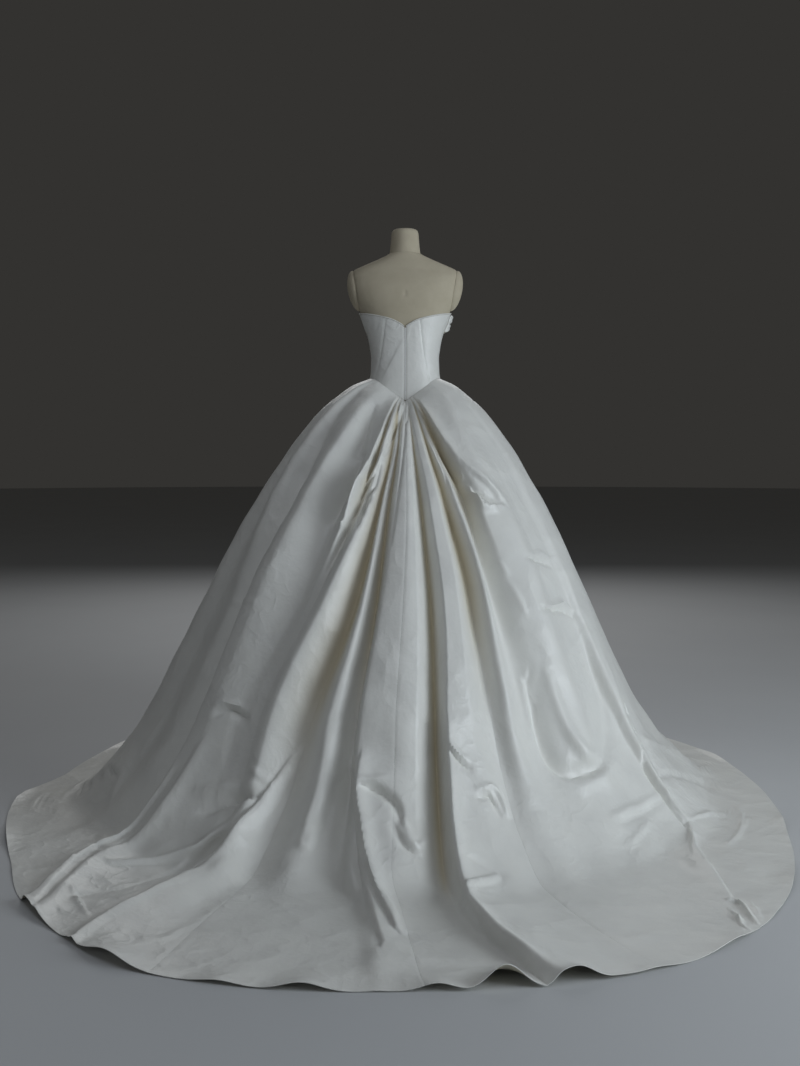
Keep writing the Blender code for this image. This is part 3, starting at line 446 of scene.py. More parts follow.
    (((-150, 0.3), (-154, 0.44), (-155, 0.6)), 20, 12, 6),
    (((146, 0.32), (150, 0.46), (152, 0.62)), 12, 20, 6),
    (((108, 1.1), (114, 1.4), (118, 1.8)), 16, 20, 5),
    (((-104, 1.1), (-110, 1.4), (-114, 1.8)), 18, 14, 5),
    (((-172, 1.05), (-165, 1.3), (-160, 1.6)), 18, 14, 5),
)

# Where warm shade is painted into the pleat hollows: fold line, first length, last length, reach in fold
# lines
HOLLOW_SHADE_LINES = (
    ("hollow under the waist pleat", 0.05, 0.30, 0.45),
    ("left gore seam hollow", 0.04, 0.72, 0.50),
    ("left dark hollow", 0.10, 0.62, 0.40),
    ("right gore seam hollow", 0.03, 0.56, 0.50),
    ("right dark pocket", 0.05, 0.32, 0.70),
    ("centre hollow", 0.10, 1.05, 0.30),
)

# Lifted stretches of the hem: angle, half width in degrees, lift in mm
HEM_LIFTS = (
    (-34.0, 2.4, 9), (-23.0, 2.6, 26), (-13.5, 1.8, 8), (-7.5, 1.9, 17), (2.2, 1.6, 15), (6.9, 1.7, 48),
    (12.4, 1.4, 16), (18.5, 2.0, 7), (27.0, 2.6, 9), (44.0, 3.4, 7), (64.0, 4.0, 8), (-58.0, 4.0, 9),
    (-76.0, 4.0, 10), (100.0, 5.0, 8), (128.0, 6.0, 9), (160.0, 6.0, 8), (-112.0, 6.0, 9), (-150.0, 6.0, 8),
)

# Seams of the bodice: name, angle at the waist, angle at the neckline
BODICE_SEAMS = (
    ("centre back", ZIP_OPENING_ANGLE, ZIP_OPENING_ANGLE),
    ("right back seam", 49.0, 26.5),
    ("side seam right", 92.0, 92.0),
    ("right front seam", 146.0, 143.0),
    ("left front seam", 214.0, 217.0),
    ("side seam left", 268.0, 268.0),
    ("left back seam", 300.0, 326.0),
    ("centre back again", 360.0 - ZIP_OPENING_ANGLE, 360.0 - ZIP_OPENING_ANGLE),
)
BODICE_PANELS = (
    "bodice_back_right", "bodice_side_back_right", "bodice_side_front_right", "bodice_front",
    "bodice_side_front_left", "bodice_side_back_left", "bodice_back_left",
)
# Creases of the bodice: path as (angle, height) pairs, widths in mm on both sides, height in mm
BODICE_CREASES = (
    (((-5, 1.360), (-14, 1.333), (-25, 1.300), (-42, 1.250)), 14, 5, 1.6),
    (((-42.5, 1.428), (-47, 1.414), (-52, 1.396)), 3, 5, -1.2),
    (((40, 1.300), (62, 1.285), (84, 1.290)), 6, 7, 0.9),
    (((-50, 1.292), (-66, 1.282), (-84, 1.288)), 7, 6, 0.9),
    (((14, 1.410), (20, 1.380), (22, 1.340)), 8, 8, 0.8),
)


def steady(knots, values, at):
    """Smooth curve through the values, along the first axis: a cubic between neighbours, whose tangent
    at each value is the harmonic mean of the two slopes beside it, or level at peaks and hollows, so
    that the curve never swings past the values."""
    knots = np.asarray(knots, float)
    values = np.asarray(values, float)
    shape = (-1,) + (1,) * (values.ndim - 1)
    width = np.diff(knots).reshape(shape)
    slope = np.diff(values, axis=0) / width
    before = slope[:-1]
    after = slope[1:]
    same = before * after > 0
    total = np.where(same, before + after, 1.0)
    inner = np.where(same, 2.0 * before * after / total, 0.0)
    tangent = np.concatenate([slope[:1], inner, slope[-1:]], axis=0)
    at = np.asarray(at, float)
    cell = np.clip(np.searchsorted(knots, at, side="right") - 1, 0, len(knots) - 2)
    step = (knots[cell + 1] - knots[cell]).reshape(shape)
    x = (at - knots[cell]).reshape(shape) / step
    start = values[cell] * (1 + 2 * x) * (1 - x) ** 2 + tangent[cell] * step * x * (1 - x) ** 2
    end = values[cell + 1] * x * x * (3 - 2 * x) + tangent[cell + 1] * step * x * x * (x - 1)
    return start + end


def raised(height, rounding):
    """Height kept above zero: itself above the rounding, zero below minus the rounding, and in between
    the square of height plus rounding over four roundings."""
    bend = (height + rounding) ** 2 / (4.0 * rounding)
    return np.where(height > rounding, height, np.where(height < -rounding, 0.0, bend))


def wrapped(angle):
    """Angle brought into -180 to 180 degrees by whole turns."""
    return (np.asarray(angle, float) + 180.0) % 360.0 - 180.0


def from_table(table, number, at):
    """Smooth value of one column of a table, at an array of values of its first column."""
    rows = np.asarray(table, float)
    return steady(rows[:, 0], rows[:, number], at.ravel()).reshape(at.shape)


def by_side(table, angle):
    """Value of a left and right table at angles of -180 to 180 degrees, with a straight blend from one
    side to the other near the centre back."""
    away = np.abs(angle)
    left = from_table(table, 1, away)
    right = from_table(table, 2, away)
    blend = np.clip((angle + SIDE_BLEND_ANGLE) / (2.0 * SIDE_BLEND_ANGLE), 0.0, 1.0)
    return np.where(away < 90.0, left + (right - left) * blend, np.where(angle < 0, left, right))


def by_angle(table, angle):
    """Value of a table that is the same on both sides, at any angle."""
    return from_table(table, 1, np.abs(wrapped(angle)))


def waist_height(angle):
    """Height of the waist seam: level at the front, then down in a straight line with a soft start to
    the point at the centre back."""
    near = raised(WAIST_POINT_ANGLE - np.abs(wrapped(angle)), WAIST_ROUNDING_ANGLE) / WAIST_POINT_ANGLE
    return WAIST_HEIGHT - WAIST_POINT_DROP * near


def torso_radius(angle, height):
    """Radius of the form: for each height an oval squarer than an ellipse, its power above two, plus a
    soft bell-shaped cup on each side at the front."""
    angle, height = np.broadcast_arrays(wrapped(angle), np.asarray(height, float))
    breadth, to_back, to_front = (from_table(TORSO_SECTIONS, number, height) for number in (1, 2, 3))
    turn = np.radians(angle)
    depth = np.where(np.cos(turn) > 0, to_back, to_front)
    n = TORSO_ROUNDNESS
    radius = (np.abs(np.sin(turn) / breadth) ** n + np.abs(np.cos(turn) / depth) ** n) ** (-1.0 / n)
    across = (np.abs(angle) - BUST_ANGLE) / BUST_SPREAD_ANGLE
    up = (height - BUST_HEIGHT) / BUST_SPREAD_HEIGHT
    return radius + BUST_PROUD * np.exp(-across ** 2 - up ** 2)


def polar(radius, angle, height):
    """Points at a radius, an angle from the centre back in degrees and a height: the radius times the
    angle's sine to the right, and times its cosine to the back."""
    turn = np.radians(angle)
    return np.stack([radius * np.sin(turn), -radius * np.cos(turn), height + 0.0 * radius], axis=-1)


def unit(vectors):
    """Vectors divided by their own lengths."""
    return vectors / np.maximum(np.linalg.norm(vectors, axis=-1, keepdims=True), 1e-12)


def normals_of(points):
    """Unit normals of a grid of points: the cross product of the steps down and across it."""
    return unit(np.cross(np.gradient(points, axis=0), np.gradient(points, axis=1)))


def crease_relief(points, rise, path, left_width, right_width, height):
    """Height field of one crease in metres, its sizes in mm: full height on the path and a bell curve
    away from it, narrower on one side than on the other, fading towards both ends of the path. Its
    sides lie square to the path and to a line from the axis through the path's middle, which climbs
    by the rise."""
    low_width = left_width / 1000.0
    high_width = right_width / 1000.0
    along = unit(np.gradient(path, axis=0))
    outward = path.mean(axis=0) * np.array([1.0, 1.0, 0.0]) + np.array([0.0, 0.0, rise])
    side = unit(np.cross(along, unit(outward)))
    reach = CREASE_REACH * max(low_width, high_width)
    near = np.all((points > path.min(axis=0) - reach) & (points < path.max(axis=0) + reach), axis=-1)
    relief = np.zeros(points.shape[:-1])
    spot = points[near]
    if len(spot) == 0:
        return relief
    last = len(path) - 1
    pick = ((spot[:, None, :] - path[None, :, :]) ** 2).sum(axis=-1).argmin(axis=1)
    gap = spot - path[pick]
    past = (gap * along[pick]).sum(axis=-1)
    beyond = np.where(pick == 0, np.minimum(past, 0.0), np.where(pick == last, np.maximum(past, 0.0), 0.0))
    distance = np.sqrt(np.maximum((gap ** 2).sum(axis=-1) - past ** 2, 0.0) + beyond ** 2)
    lateral = (gap * side[pick]).sum(axis=-1)
    blend = 0.5 + 0.5 * np.tanh(lateral / (CREASE_TURN_SHARE * min(low_width, high_width)))
    width = low_width + (high_width - low_width) * blend
    spacing = np.linalg.norm(np.diff(path, axis=0), axis=-1).mean()
    share = np.clip((pick + past / spacing) / last, 0.0, 1.0)
    margin = CREASE_FADE_MARGIN
    fade = np.sin(math.pi * (margin + (1.0 - 2.0 * margin) * share)) ** CREASE_FADE_POWER
    relief[near] = height / 1000.0 * fade * np.exp(-(distance / width) ** 2)
    return relief


def bell(angle, length):
    """Radius and height of the skirt without folds: the bell profile from the waist to the floor, then
    the run on the floor to the hem, with a soft bend where it touches down, and less the right flank's
    draw, a bell curve round its angle."""
    profile = np.asarray(BELL, float)
    steps = np.linalg.norm(np.diff(profile, axis=0) * BELL_SIZE, axis=1)
    run = np.concatenate([[0.0], np.cumsum(steps)])
    share = steady(run / run[-1], profile, np.clip(length, 0.0, 1.0).ravel())
    drop = share[:, 0].reshape(length.shape)
    spread = share[:, 1].reshape(length.shape)
    top = waist_height(angle)
    inner = torso_radius(angle, top) + FORM_CLEARANCE
    contact = by_side(FLOOR_CONTACT, angle)
    out = contact + (by_side(HEM, angle) - contact) * np.clip(length - 1.0, 0.0, 1.0)
    radius = np.where(length > 1.0, out, inner + (contact - inner) * spread)
    draw = from_table(FLANK_DRAW, 1, length)
    radius = radius - draw * np.exp(-((angle - FLANK_ANGLE) / FLANK_SPREAD_ANGLE) ** 2)
    height = np.where(length > 1.0, (contact - out) * FLOOR_SLOPE, top * (1.0 - drop))
    rounding = FLOOR_ROUNDING + TRAIN_ROUNDING * np.exp(-(angle / TRAIN_SPREAD_ANGLE) ** 2)
    return radius, raised(height, rounding)


def smooth_line(stations):
    """Evenly stepped points of a smooth line through stations, as one row for each number of them."""
    at = np.linspace(0.0, len(stations) - 1.0, CREASE_SAMPLES)
    return steady(np.arange(len(stations)), np.asarray(stations, float), at).T


def ripples(points, length):
    """Slight unevenness of hanging satin: a sum of seeded waves, long down the cloth and shorter
    across it, in metres."""
    chance = np.random.default_rng(RIPPLE_SEED)
    total = np.zeros(points.shape[:-1])
    for _ in range(RIPPLE_WAVES):
        wave = 2.0 * math.pi / chance.uniform(*RIPPLE_LENGTHS)
        heading = chance.uniform(0.0, 2.0 * math.pi)
        flat = points[..., 0] * math.cos(heading) + points[..., 1] * math.sin(heading)
        total += np.sin(wave * (flat + RIPPLE_LEAN * points[..., 2]) + chance.uniform(0.0, 2.0 * math.pi))
    return RIPPLE_HEIGHT * total / math.sqrt(RIPPLE_WAVES) * np.clip(length / RIPPLE_START, 0.0, 1.0)


def skirt_surface(rows, across):
    """Inner face of a stretch of skirt: the bell plus the fold lines, joined across by steady curves,
    plus the pressed creases and the ripples, all along the bell's own normal, then the settling on
    the floor and the lifts of the hem, both straight up."""
    angles = np.array([np.broadcast_to(row[1], len(FOLD_LENGTHS)) for row in FOLDS], float)
    heights = np.array([row[2] for row in FOLDS], float) / 1000.0
    angles = steady(FOLD_LENGTHS, angles.T, rows)
    heights = steady(FOLD_LENGTHS, heights.T, rows)
    lead = 3  # fold lines repeated on both sides, so that the curves join up round the skirt
    angles = np.concatenate([angles[:, -lead:] - 360.0, angles, angles[:, :lead] + 360.0], axis=1)
    heights = np.concatenate([heights[:, -lead:], heights, heights[:, :lead]], axis=1)
    lines = np.arange(-lead, len(FOLDS) + lead)
    angle = steady(lines, angles.T, across).T
    fold = steady(lines, heights.T, across).T
    turned = wrapped(angle)
    length = np.repeat(rows[:, None], angle.shape[1], axis=1)
    radius, height = bell(turned, length)
    bare = polar(radius, angle, height)
    for stations, *sizes in CREASES:
        path_angle, path_length = smooth_line(stations)
        path_radius, path_height = bell(path_angle, path_length)
        path = polar(path_radius, path_angle, path_height)
        rise = FLOOR_CREASE_RISE if stations[0][1] > 1.0 else HANGING_CREASE_RISE
        fold = fold + crease_relief(bare, rise, path, *sizes)
    fold = fold + ripples(bare, length)
    radius_up, height_up = bell(turned, np.maximum(length - BELL_STEP, 0.0))
    radius_down, height_down = bell(turned, np.minimum(length + BELL_STEP, 2.0))
    lean_out = height_up - height_down
    lean_up = radius_down - radius_up
    size = np.hypot(lean_out, lean_up)
    radius = radius + fold * lean_out / size
    settle = FLOOR_SETTLE * np.clip(length, 0.0, 1.0) ** FLOOR_SETTLE_POWER
    height = raised(height + fold * lean_up / size - settle, FLOOR_SETTLE)
    edge = np.clip((length - HEM_LIFT_START) / (2.0 - HEM_LIFT_START), 0.0, 1.0) ** HEM_LIFT_POWER
    for place, half, lift in HEM_LIFTS:
        height = height + lift / 1000.0 * edge * np.exp(-(wrapped(turned - place) / half) ** 2)
    return polar(radius, angle, height), angle


def shell_mesh(inner, outer):
    """Closed wall between two matching grids, outer face first: vertices, faces, face sides."""
    rows, columns = inner.shape[:2]
    verts = np.concatenate([inner.reshape(-1, 3), outer.reshape(-1, 3)])
    index = np.arange(rows * columns).reshape(rows, columns)
    back = index + rows * columns

    def strip(a, b, c, d):
        """Four-cornered faces from four matching grids of corners."""
        return np.stack([a.ravel(), b.ravel(), c.ravel(), d.ravel()], axis=1)

    outside = strip(back[:-1, :-1], back[1:, :-1], back[1:, 1:], back[:-1, 1:])
    inside = strip(index[:-1, :-1], index[:-1, 1:], index[1:, 1:], index[1:, :-1])
    rim = [
        strip(index[0, :-1], back[0, :-1], back[0, 1:], index[0, 1:]),
        strip(index[-1, :-1], index[-1, 1:], back[-1, 1:], back[-1, :-1]),
        strip(index[:-1, 0], index[1:, 0], back[1:, 0], back[:-1, 0]),
        strip(index[:-1, -1], back[:-1, -1], back[1:, -1], index[1:, -1]),
    ]
    faces = np.concatenate([outside, inside] + rim)
    sides = np.zeros(len(faces), int)
    sides[len(outside):len(outside) + len(inside)] = 1
    return verts, faces, sides


def ring_mesh(rings):
    """Closed body through rings of points, each end closed by a fan: vertices, faces."""
    rings = np.asarray(rings, float)
    rows, columns = rings.shape[:2]
    index = np.arange(rows * columns).reshape(rows, columns)
    after = np.roll(index, -1, axis=1)
    middles = rings[[0, -1]].mean(axis=1)
    first = rows * columns
    faces = np.stack([index[:-1], after[:-1], after[1:], index[1:]], axis=-1).reshape(-1, 4).tolist()
    faces += np.stack([after[0], index[0], np.full(columns, first)], axis=1).tolist()
    faces += np.stack([index[-1], after[-1], np.full(columns, first + 1)], axis=1).tolist()
    return np.concatenate([rings.reshape(-1, 3), middles]), faces


def outward(mesh):
    """Turns a closed mesh's faces outward when its signed volume is negative."""
    count = len(mesh.vertices)
    flat = np.empty(count * 3)
    mesh.vertices.foreach_get("co", flat)
    mesh.calc_loop_triangles()
    corners = np.empty(len(mesh.loop_triangles) * 3, int)
    mesh.loop_triangles.foreach_get("vertices", corners)
    a, b, c = flat.reshape(-1, 3)[corners.reshape(-1, 3)].transpose(1, 0, 2)
    if (a * np.cross(b, c)).sum() < 0:
        mesh.flip_normals()


def add_piece(name, verts, faces, materials, solid=None, sides=None, weave=None, sharp=50.0):
    """One named piece at the origin, smooth except where it turns by more than the sharp angle, riding
    on the root body in the place of its solid."""
    mesh = bpy.data.meshes.new(name)
    mesh.from_pydata(np.asarray(verts, float), [], faces.tolist() if hasattr(faces, "tolist") else faces)
    for made in materials:
        mesh.materials.append(made)
    if sides is not None:
        mesh.polygons.foreach_set("material_index", sides)
    if weave is not None:
        corner = np.empty(len(mesh.loops), int)
        mesh.loops.foreach_get("vertex_index", corner)
        layer = mesh.uv_layers.new(name="weave")
        layer.data.foreach_set("uv", weave[corner].ravel())
    mesh.polygons.foreach_set("use_smooth", np.ones(len(mesh.polygons), bool))
    outward(mesh)
    mesh.set_sharp_from_angle(angle=math.radians(sharp))
    mesh.update()
    piece = bpy.data.objects.new(name, mesh)
    bpy.context.scene.collection.objects.link(piece)
    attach(piece, "root")
    if solid:
        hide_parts(solid)
    return piece


def linear(code):
    """sRGB hex colour turned to linear red, green, blue and alpha: dark values over 12.92, the others
    by the power of 2.4."""
    values = [int(code[place:place + 2], 16) / 255.0 for place in (1, 3, 5)]
    return tuple(v / 12.92 if v <= 0.04045 else ((v + 0.055) / 1.055) ** 2.4 for v in values) + (1.0,)


def node(material, kind, settings=None, **links):
    """Adds one shader node; settings are its properties, links its input sockets by name or number."""
    made = material.node_tree.nodes.new(kind)
    for key, value in (settings or {}).items():
        setattr(made, key, value)
    plug(material, made, **links)
    return made


def plug(material, made, **links):
    """Sets a node's inputs, by name or as n and a number, to values or to other nodes' outputs."""
    for key, value in links.items():
        numbered = key[0] == "n" and key[1:].isdigit()
        socket = made.inputs[int(key[1:]) if numbered else key.replace("_", " ")]
        if isinstance(value, bpy.types.NodeSocket):
            material.node_tree.links.new(value, socket)
        else:
            socket.default_value = value


def new_material(name):
    """An empty node material, its surface shader and its object coordinates."""
    made = bpy.data.materials.new(name)
    made.use_nodes = True
    place = node(made, "ShaderNodeTexCoord").outputs["Object"]
    return made, made.node_tree.nodes["Principled BSDF"], place


def noise(made, vector, size, settings=None, **links):
    """Noise pattern whose marks are about one size across, in metres."""
    pattern = node(made, "ShaderNodeTexNoise", settings, Vector=vector, Scale=1.0 / size, **links)
    return pattern.outputs["Fac"]


def streaks(made, vector, sizes, **links):
    """Noise pattern whose marks have three sizes in metres, one along each axis."""
    stretch = node(made, "ShaderNodeMapping", Vector=vector, Scale=[1.0 / size for size in sizes])
    return noise(made, stretch.outputs[0], 1.0, **links)


def bump(made, height, strength, distance, **below):
    """Normal bent by a height pattern, over the normal of what lies below it."""
    bent = node(made, "ShaderNodeBump", Strength=strength, Distance=distance, Height=height, **below)
    return bent.outputs[0]


def between(made, share, first, second):
    """Colour between two, each a hex code or another node's output."""
    pair = [linear(each) if isinstance(each, str) else each for each in (first, second)]
    mixed = node(made, "ShaderNodeMix", {"data_type": "RGBA"}, Factor=share, n6=pair[0], n7=pair[1])
    return mixed.outputs[2]


def satin_material(name, colour, shade, roughness, sheen):
    """Heavy duchess satin: long warp floats give a soft broad gloss, with faint slubs and a slight
    unevenness of tone; the warp runs down the gore."""
    made, shader, place = new_material(name)
    weave = node(made, "ShaderNodeUVMap", {"uv_map": "weave"}).outputs["UV"]
    # warp floats are 0.1 mm apart in the real cloth and are drawn 1.4 mm apart so that they show
    threads = streaks(made, weave, (0.0014, 0.030, 1.0), Detail=2.0, Roughness=0.55)
    # slubs are about 25 mm long and are drawn 40 mm long
    slubs = streaks(made, weave, (0.004, 0.040, 1.0), Detail=3.0, Roughness=0.6)
    # handling marks and soft buckles are 60 to 120 mm across
    marks = noise(made, place, 0.090, Detail=4.0, Roughness=0.55)
    # crumples from handling are 40 to 150 mm across, with sharp ridges between them
    ridged = {"noise_type": "RIDGED_MULTIFRACTAL"}
    crush = noise(made, place, 0.140, ridged, Detail=3.0, Roughness=0.4, Lacunarity=2.2, Offset=0.9,
                  Gain=1.4)
    # small crinkles pressed in by folding are 20 to 45 mm across, and only here and there
    crinkle = noise(made, place, 0.042, ridged, Detail=2.0, Roughness=0.5, Lacunarity=2.3, Offset=0.8,
                    Gain=1.6, Distortion=0.6)
    patches = noise(made, place, 0.30, Detail=2.0)
    where = node(made, "ShaderNodeMapRange", Value=patches, n1=0.45, n2=0.62, n3=0.0, n4=1.0)
    patchy = node(made, "ShaderNodeMath", {"operation": "MULTIPLY"}, n0=crinkle, n1=where.outputs[0])
    layers = ((slubs, 0.22, 0.0006), (marks, 0.35, 0.010), (crush, 0.60, 0.004),
              (patchy.outputs[0], 0.55, 0.0016))
    normal = bump(made, threads, 0.10, 0.0004)
    for height, strength, distance in layers:
        normal = bump(made, height, strength, distance, Normal=normal)
    # painted shade: the pleat hollows take a warmer, darker tint that stands for the shade in them
    shown = node(made, "ShaderNodeAttribute", {"attribute_name": "painted_hollow_shade"}).outputs["Fac"]
    tone = between(made, shown, between(made, marks, shade, colour), "#c9bea2")
    gloss = node(made, "ShaderNodeMapRange", Value=slubs, n3=roughness - 0.04, n4=roughness + 0.05)
    plug(made, shader, Base_Color=tone, Normal=normal, Roughness=gloss.outputs[0], IOR=1.50,
         Sheen_Weight=sheen, Sheen_Roughness=0.35)
    return made


def linen_material():
    """Plain-weave linen cover, unbleached and matt: crossed threads with thick and thin places."""
    made, shader, place = new_material("unbleached_linen_cover")
    # threads are 0.5 mm apart and are drawn 3.15 mm apart so that they show; the bands of a wave
    # pattern lie about 0.3125 m apart at scale 1
    threads = [
        node(made, "ShaderNodeTexWave", {"wave_type": "BANDS", "bands_direction": way}, Vector=place,
             Scale=0.3125 / 0.00315, Distortion=2.0, Detail=2.0).outputs["Fac"] for way in ("Z", "X")
    ]
    cloth = node(made, "ShaderNodeMath", {"operation": "MAXIMUM"}, n0=threads[0], n1=threads[1])
    grey = noise(made, place, 0.050, Detail=5.0, Roughness=0.6)
    plug(made, shader, Base_Color=between(made, grey, "#b3a992", "#c9c0ab"),
         Normal=bump(made, cloth.outputs[0], 0.25, 0.0005), Roughness=0.88, IOR=1.45)
    return made


def zip_material(name, colour, roughness):
    """Polyester: woven tape or moulded coil, plain and slightly soft in its gloss."""
    made, shader, place = new_material(name)
    grain = noise(made, place, 0.002, Detail=2.0)
    plug(made, shader, Base_Color=between(made, grain, colour, "#f0f0ec"),
         Normal=bump(made, grain, 0.2, 0.0003), Roughness=roughness)
    return made


def steel_material():
    """Drawn steel tube: fine scratches along the pole."""
    made, shader, place = new_material("drawn_steel_tube")
    scratch = streaks(made, place, (0.002, 0.002, 0.080), Detail=3.0)
    gloss = node(made, "ShaderNodeMapRange", Value=scratch, n3=0.24, n4=0.42).outputs[0]
    plug(made, shader, Base_Color=linear("#b4b4b6"), Metallic=1.0, Roughness=gloss,
         Normal=bump(made, scratch, 0.1, 0.0002))
    return made


def paint_material():
    """Black powder-coated steel: a slight orange peel."""
    made, shader, place = new_material("black_powder_coat")
    peel = noise(made, place, 0.0012, Detail=2.0)
    plug(made, shader, Base_Color=linear("#242426"), Roughness=0.45,
         Normal=bump(made, peel, 0.25, 0.0002))
    return made


def make_floor():
    """Plain pale floor, a round sheet that is only a stage."""
    turn = np.linspace(0.0, 2.0 * math.pi, FLOOR_SIDES, endpoint=False)
    level = np.full(FLOOR_SIDES, -FLOOR_DROP)
    rim = np.stack([FLOOR_RADIUS * np.cos(turn), FLOOR_RADIUS * np.sin(turn), level], axis=1)
    mesh = bpy.data.meshes.new("floor")
    mesh.from_pydata(rim, [], [list(range(FLOOR_SIDES))])
    made, shader, place = new_material("plain_floor")
    # clouding of the tone is about 0.7 m across
    cloud = node(made, "ShaderNodeTexNoise", Vector=place, Scale=1.4, Detail=3.0).outputs["Fac"]
    plug(made, shader, Base_Color=between(made, cloud, "#c2c4c6", "#cacccd"), Roughness=0.75)
    mesh.materials.append(made)
    floor = bpy.data.objects.new("floor", mesh)
    bpy.context.scene.collection.objects.link(floor)


def make_camera():
    """Level camera at the photograph's place, shifted so that the horizon lies on its row."""
    data = bpy.data.cameras.new("photo_camera")
    camera = bpy.data.objects.new("photo_camera", data)
    bpy.context.scene.collection.objects.link(camera)
    camera.location = CAMERA_PLACE
    camera.rotation_euler = (math.radians(90.0), 0.0, 0.0)
    data.sensor_width = SENSOR_WIDTH_MM
    data.lens = data.sensor_width * FOCAL_PIXELS / PICTURE[1]
    data.shift_y = (HORIZON_ROW - PICTURE[1] / 2.0) / PICTURE[1]
    data.clip_end = VIEW_REACH
    bpy.context.scene.camera = camera


def make_light(name, place, target, size, power, colour):
    """Soft square studio light that faces its target and isn't seen itself."""
    data = bpy.data.lights.new(name, "AREA")
    data.size = size
    data.energy = power
    data.color = linear(colour)[:3]
    light = bpy.data.objects.new(name, data)
    bpy.context.scene.collection.objects.link(light)
    light.visible_camera = False
    light.location = place
    light.rotation_euler = (Vector(target) - Vector(place)).to_track_quat("-Z", "Y").to_euler()


def make_stage():
    """Camera, floor, dim surroundings and the lights."""
    make_camera()
    make_floor()
    world = bpy.data.worlds.new("studio")
    world.use_nodes = True
    world.node_tree.nodes["Background"].inputs["Color"].default_value = linear(SURROUND_COLOUR)
    world.node_tree.nodes["Background"].inputs["Strength"].default_value = 1.0
    bpy.context.scene.world = world
    for row in LIGHTS:
        make_light(*row)
    bpy.context.scene.view_settings.view_transform = "Standard"


def run_along(points, axis):
    """Length on the cloth from the first row (axis 0) or column (axis 1) to each point of a grid."""
    run = np.cumsum(np.linalg.norm(np.diff(points, axis=axis), axis=-1), axis=axis)
    return np.insert(run, 0, 0.0, axis=axis)


def weave_map(points):
    """Two lengths on the cloth in metres for each point of a grid: across from the middle column, down
    from the top row."""
    across = run_along(points, 1)
    across = across - across[:, across.shape[1] // 2][:, None]
    return np.stack([across, run_along(points, 0)], axis=-1).reshape(-1, 2)


def add_cloth(name, inner, outer, points, cloth):
    """One satin piece: the wall between two grids, its weave laid out on the grid of points."""
    verts, faces, sides = shell_mesh(inner, outer)
    weave = np.tile(weave_map(points), (2, 1))
    return add_piece("satin_" + name, verts, faces, cloth, name, sides, weave)


def drawn_in(points, normals):
    """The grid with its two side edges drawn in by half the seam gap, along the cloth."""
    made = points.copy()
    for edge, inward in ((0, 1), (-1, -2)):
        along = points[:, inward] - points[:, edge]
        facing = normals[:, edge]
        along = unit(along - facing * (along * facing).sum(axis=-1, keepdims=True))
        made[:, edge] = points[:, edge] + along * SEAM_GAP / 2.0
    return made


def seam_dip(points, wall):
    """Wall thickness of a panel: full in the middle, less a share that is a bell curve of the distance
    to the nearer seam."""
    across = run_along(points, 1)
    edge = np.minimum(across, across[:, -1:] - across)
    return wall * (1.0 - SEAM_PRESS_SHARE * np.exp(-(edge / SEAM_PRESS_WIDTH) ** 2))


def level_out(angle):
    """Level unit vectors away from the axis."""
    return polar(np.ones(angle.shape), angle, np.zeros(angle.shape))


def painted_hollow_shade(rows, across):
    """Share of the painted shade in the pleat hollows at each point: a bell curve round its fold line,
    faded at both ends.
    """
    names = [row[0] for row in FOLDS]
    shown = np.zeros((len(rows), len(across)))
    for name, first, last, reach in HOLLOW_SHADE_LINES:
        beside = np.exp(-((across - names.index(name)) / reach) ** 2)
        start = 1.0 / (1.0 + np.exp((first - rows) / HOLLOW_SHADE_FADES[0]))
        along = start / (1.0 + np.exp((rows - last) / HOLLOW_SHADE_FADES[1]))
        shown = np.maximum(shown, along[:, None] * beside[None, :])
    return shown


def make_skirt(cloth):
    """The seven gores of the skirt, each a closed thin wall on its solid's form, its columns set closer
    or wider in even steps from its first fold line to its last."""
    names = [row[0] for row in FOLDS]
    hanging = np.linspace(0.0, 1.0, HANGING_ROWS, endpoint=False) ** HANGING_ROW_POWER
    rows = np.concatenate([hanging, np.linspace(1.0, 2.0, FLOOR_ROWS)])
    for name, first, last, near, far in GORES:
        start = names.index(first)
        end = names.index(last)
        if end <= start:
            end += len(FOLDS)
        place = np.linspace(0.0, end - start, COLUMN_SAMPLES)
        columns = near * place + (far - near) * place ** 2 / (2.0 * (end - start))
        across = start + np.interp(np.linspace(0.0, columns[-1], round(columns[-1]) + 1), columns, place)
        wide = np.concatenate([[start - 0.5 / near], across, [end + 0.5 / far]])
        turn = np.where(wide >= len(FOLDS), wide - len(FOLDS), wide)
        points, angle = skirt_surface(rows, turn)
        normals = normals_of(points)[:, 1:-1]
        points = points[:, 1:-1]
        normals[0] = level_out(angle[0, 1:-1])
        inner = drawn_in(points, normals)
        outer = inner + normals * seam_dip(points, SKIRT_WALL)[..., None]
        piece = add_cloth(name, inner, outer, points, cloth)
        # painted shade: share of the warm tint painted into the pleat hollows, kept on each point
        shown = np.tile(painted_hollow_shade(rows, turn[1:-1]).ravel(), 2)
        piece.data.attributes.new("painted_hollow_shade", "FLOAT", "POINT").data.foreach_set("value", shown)


def bodice_point(angle, height, out):
    """Point on the bodice: the form's radius plus the clearance plus a distance out."""
    return polar(torso_radius(angle, height) + FORM_CLEARANCE + out, angle, height)


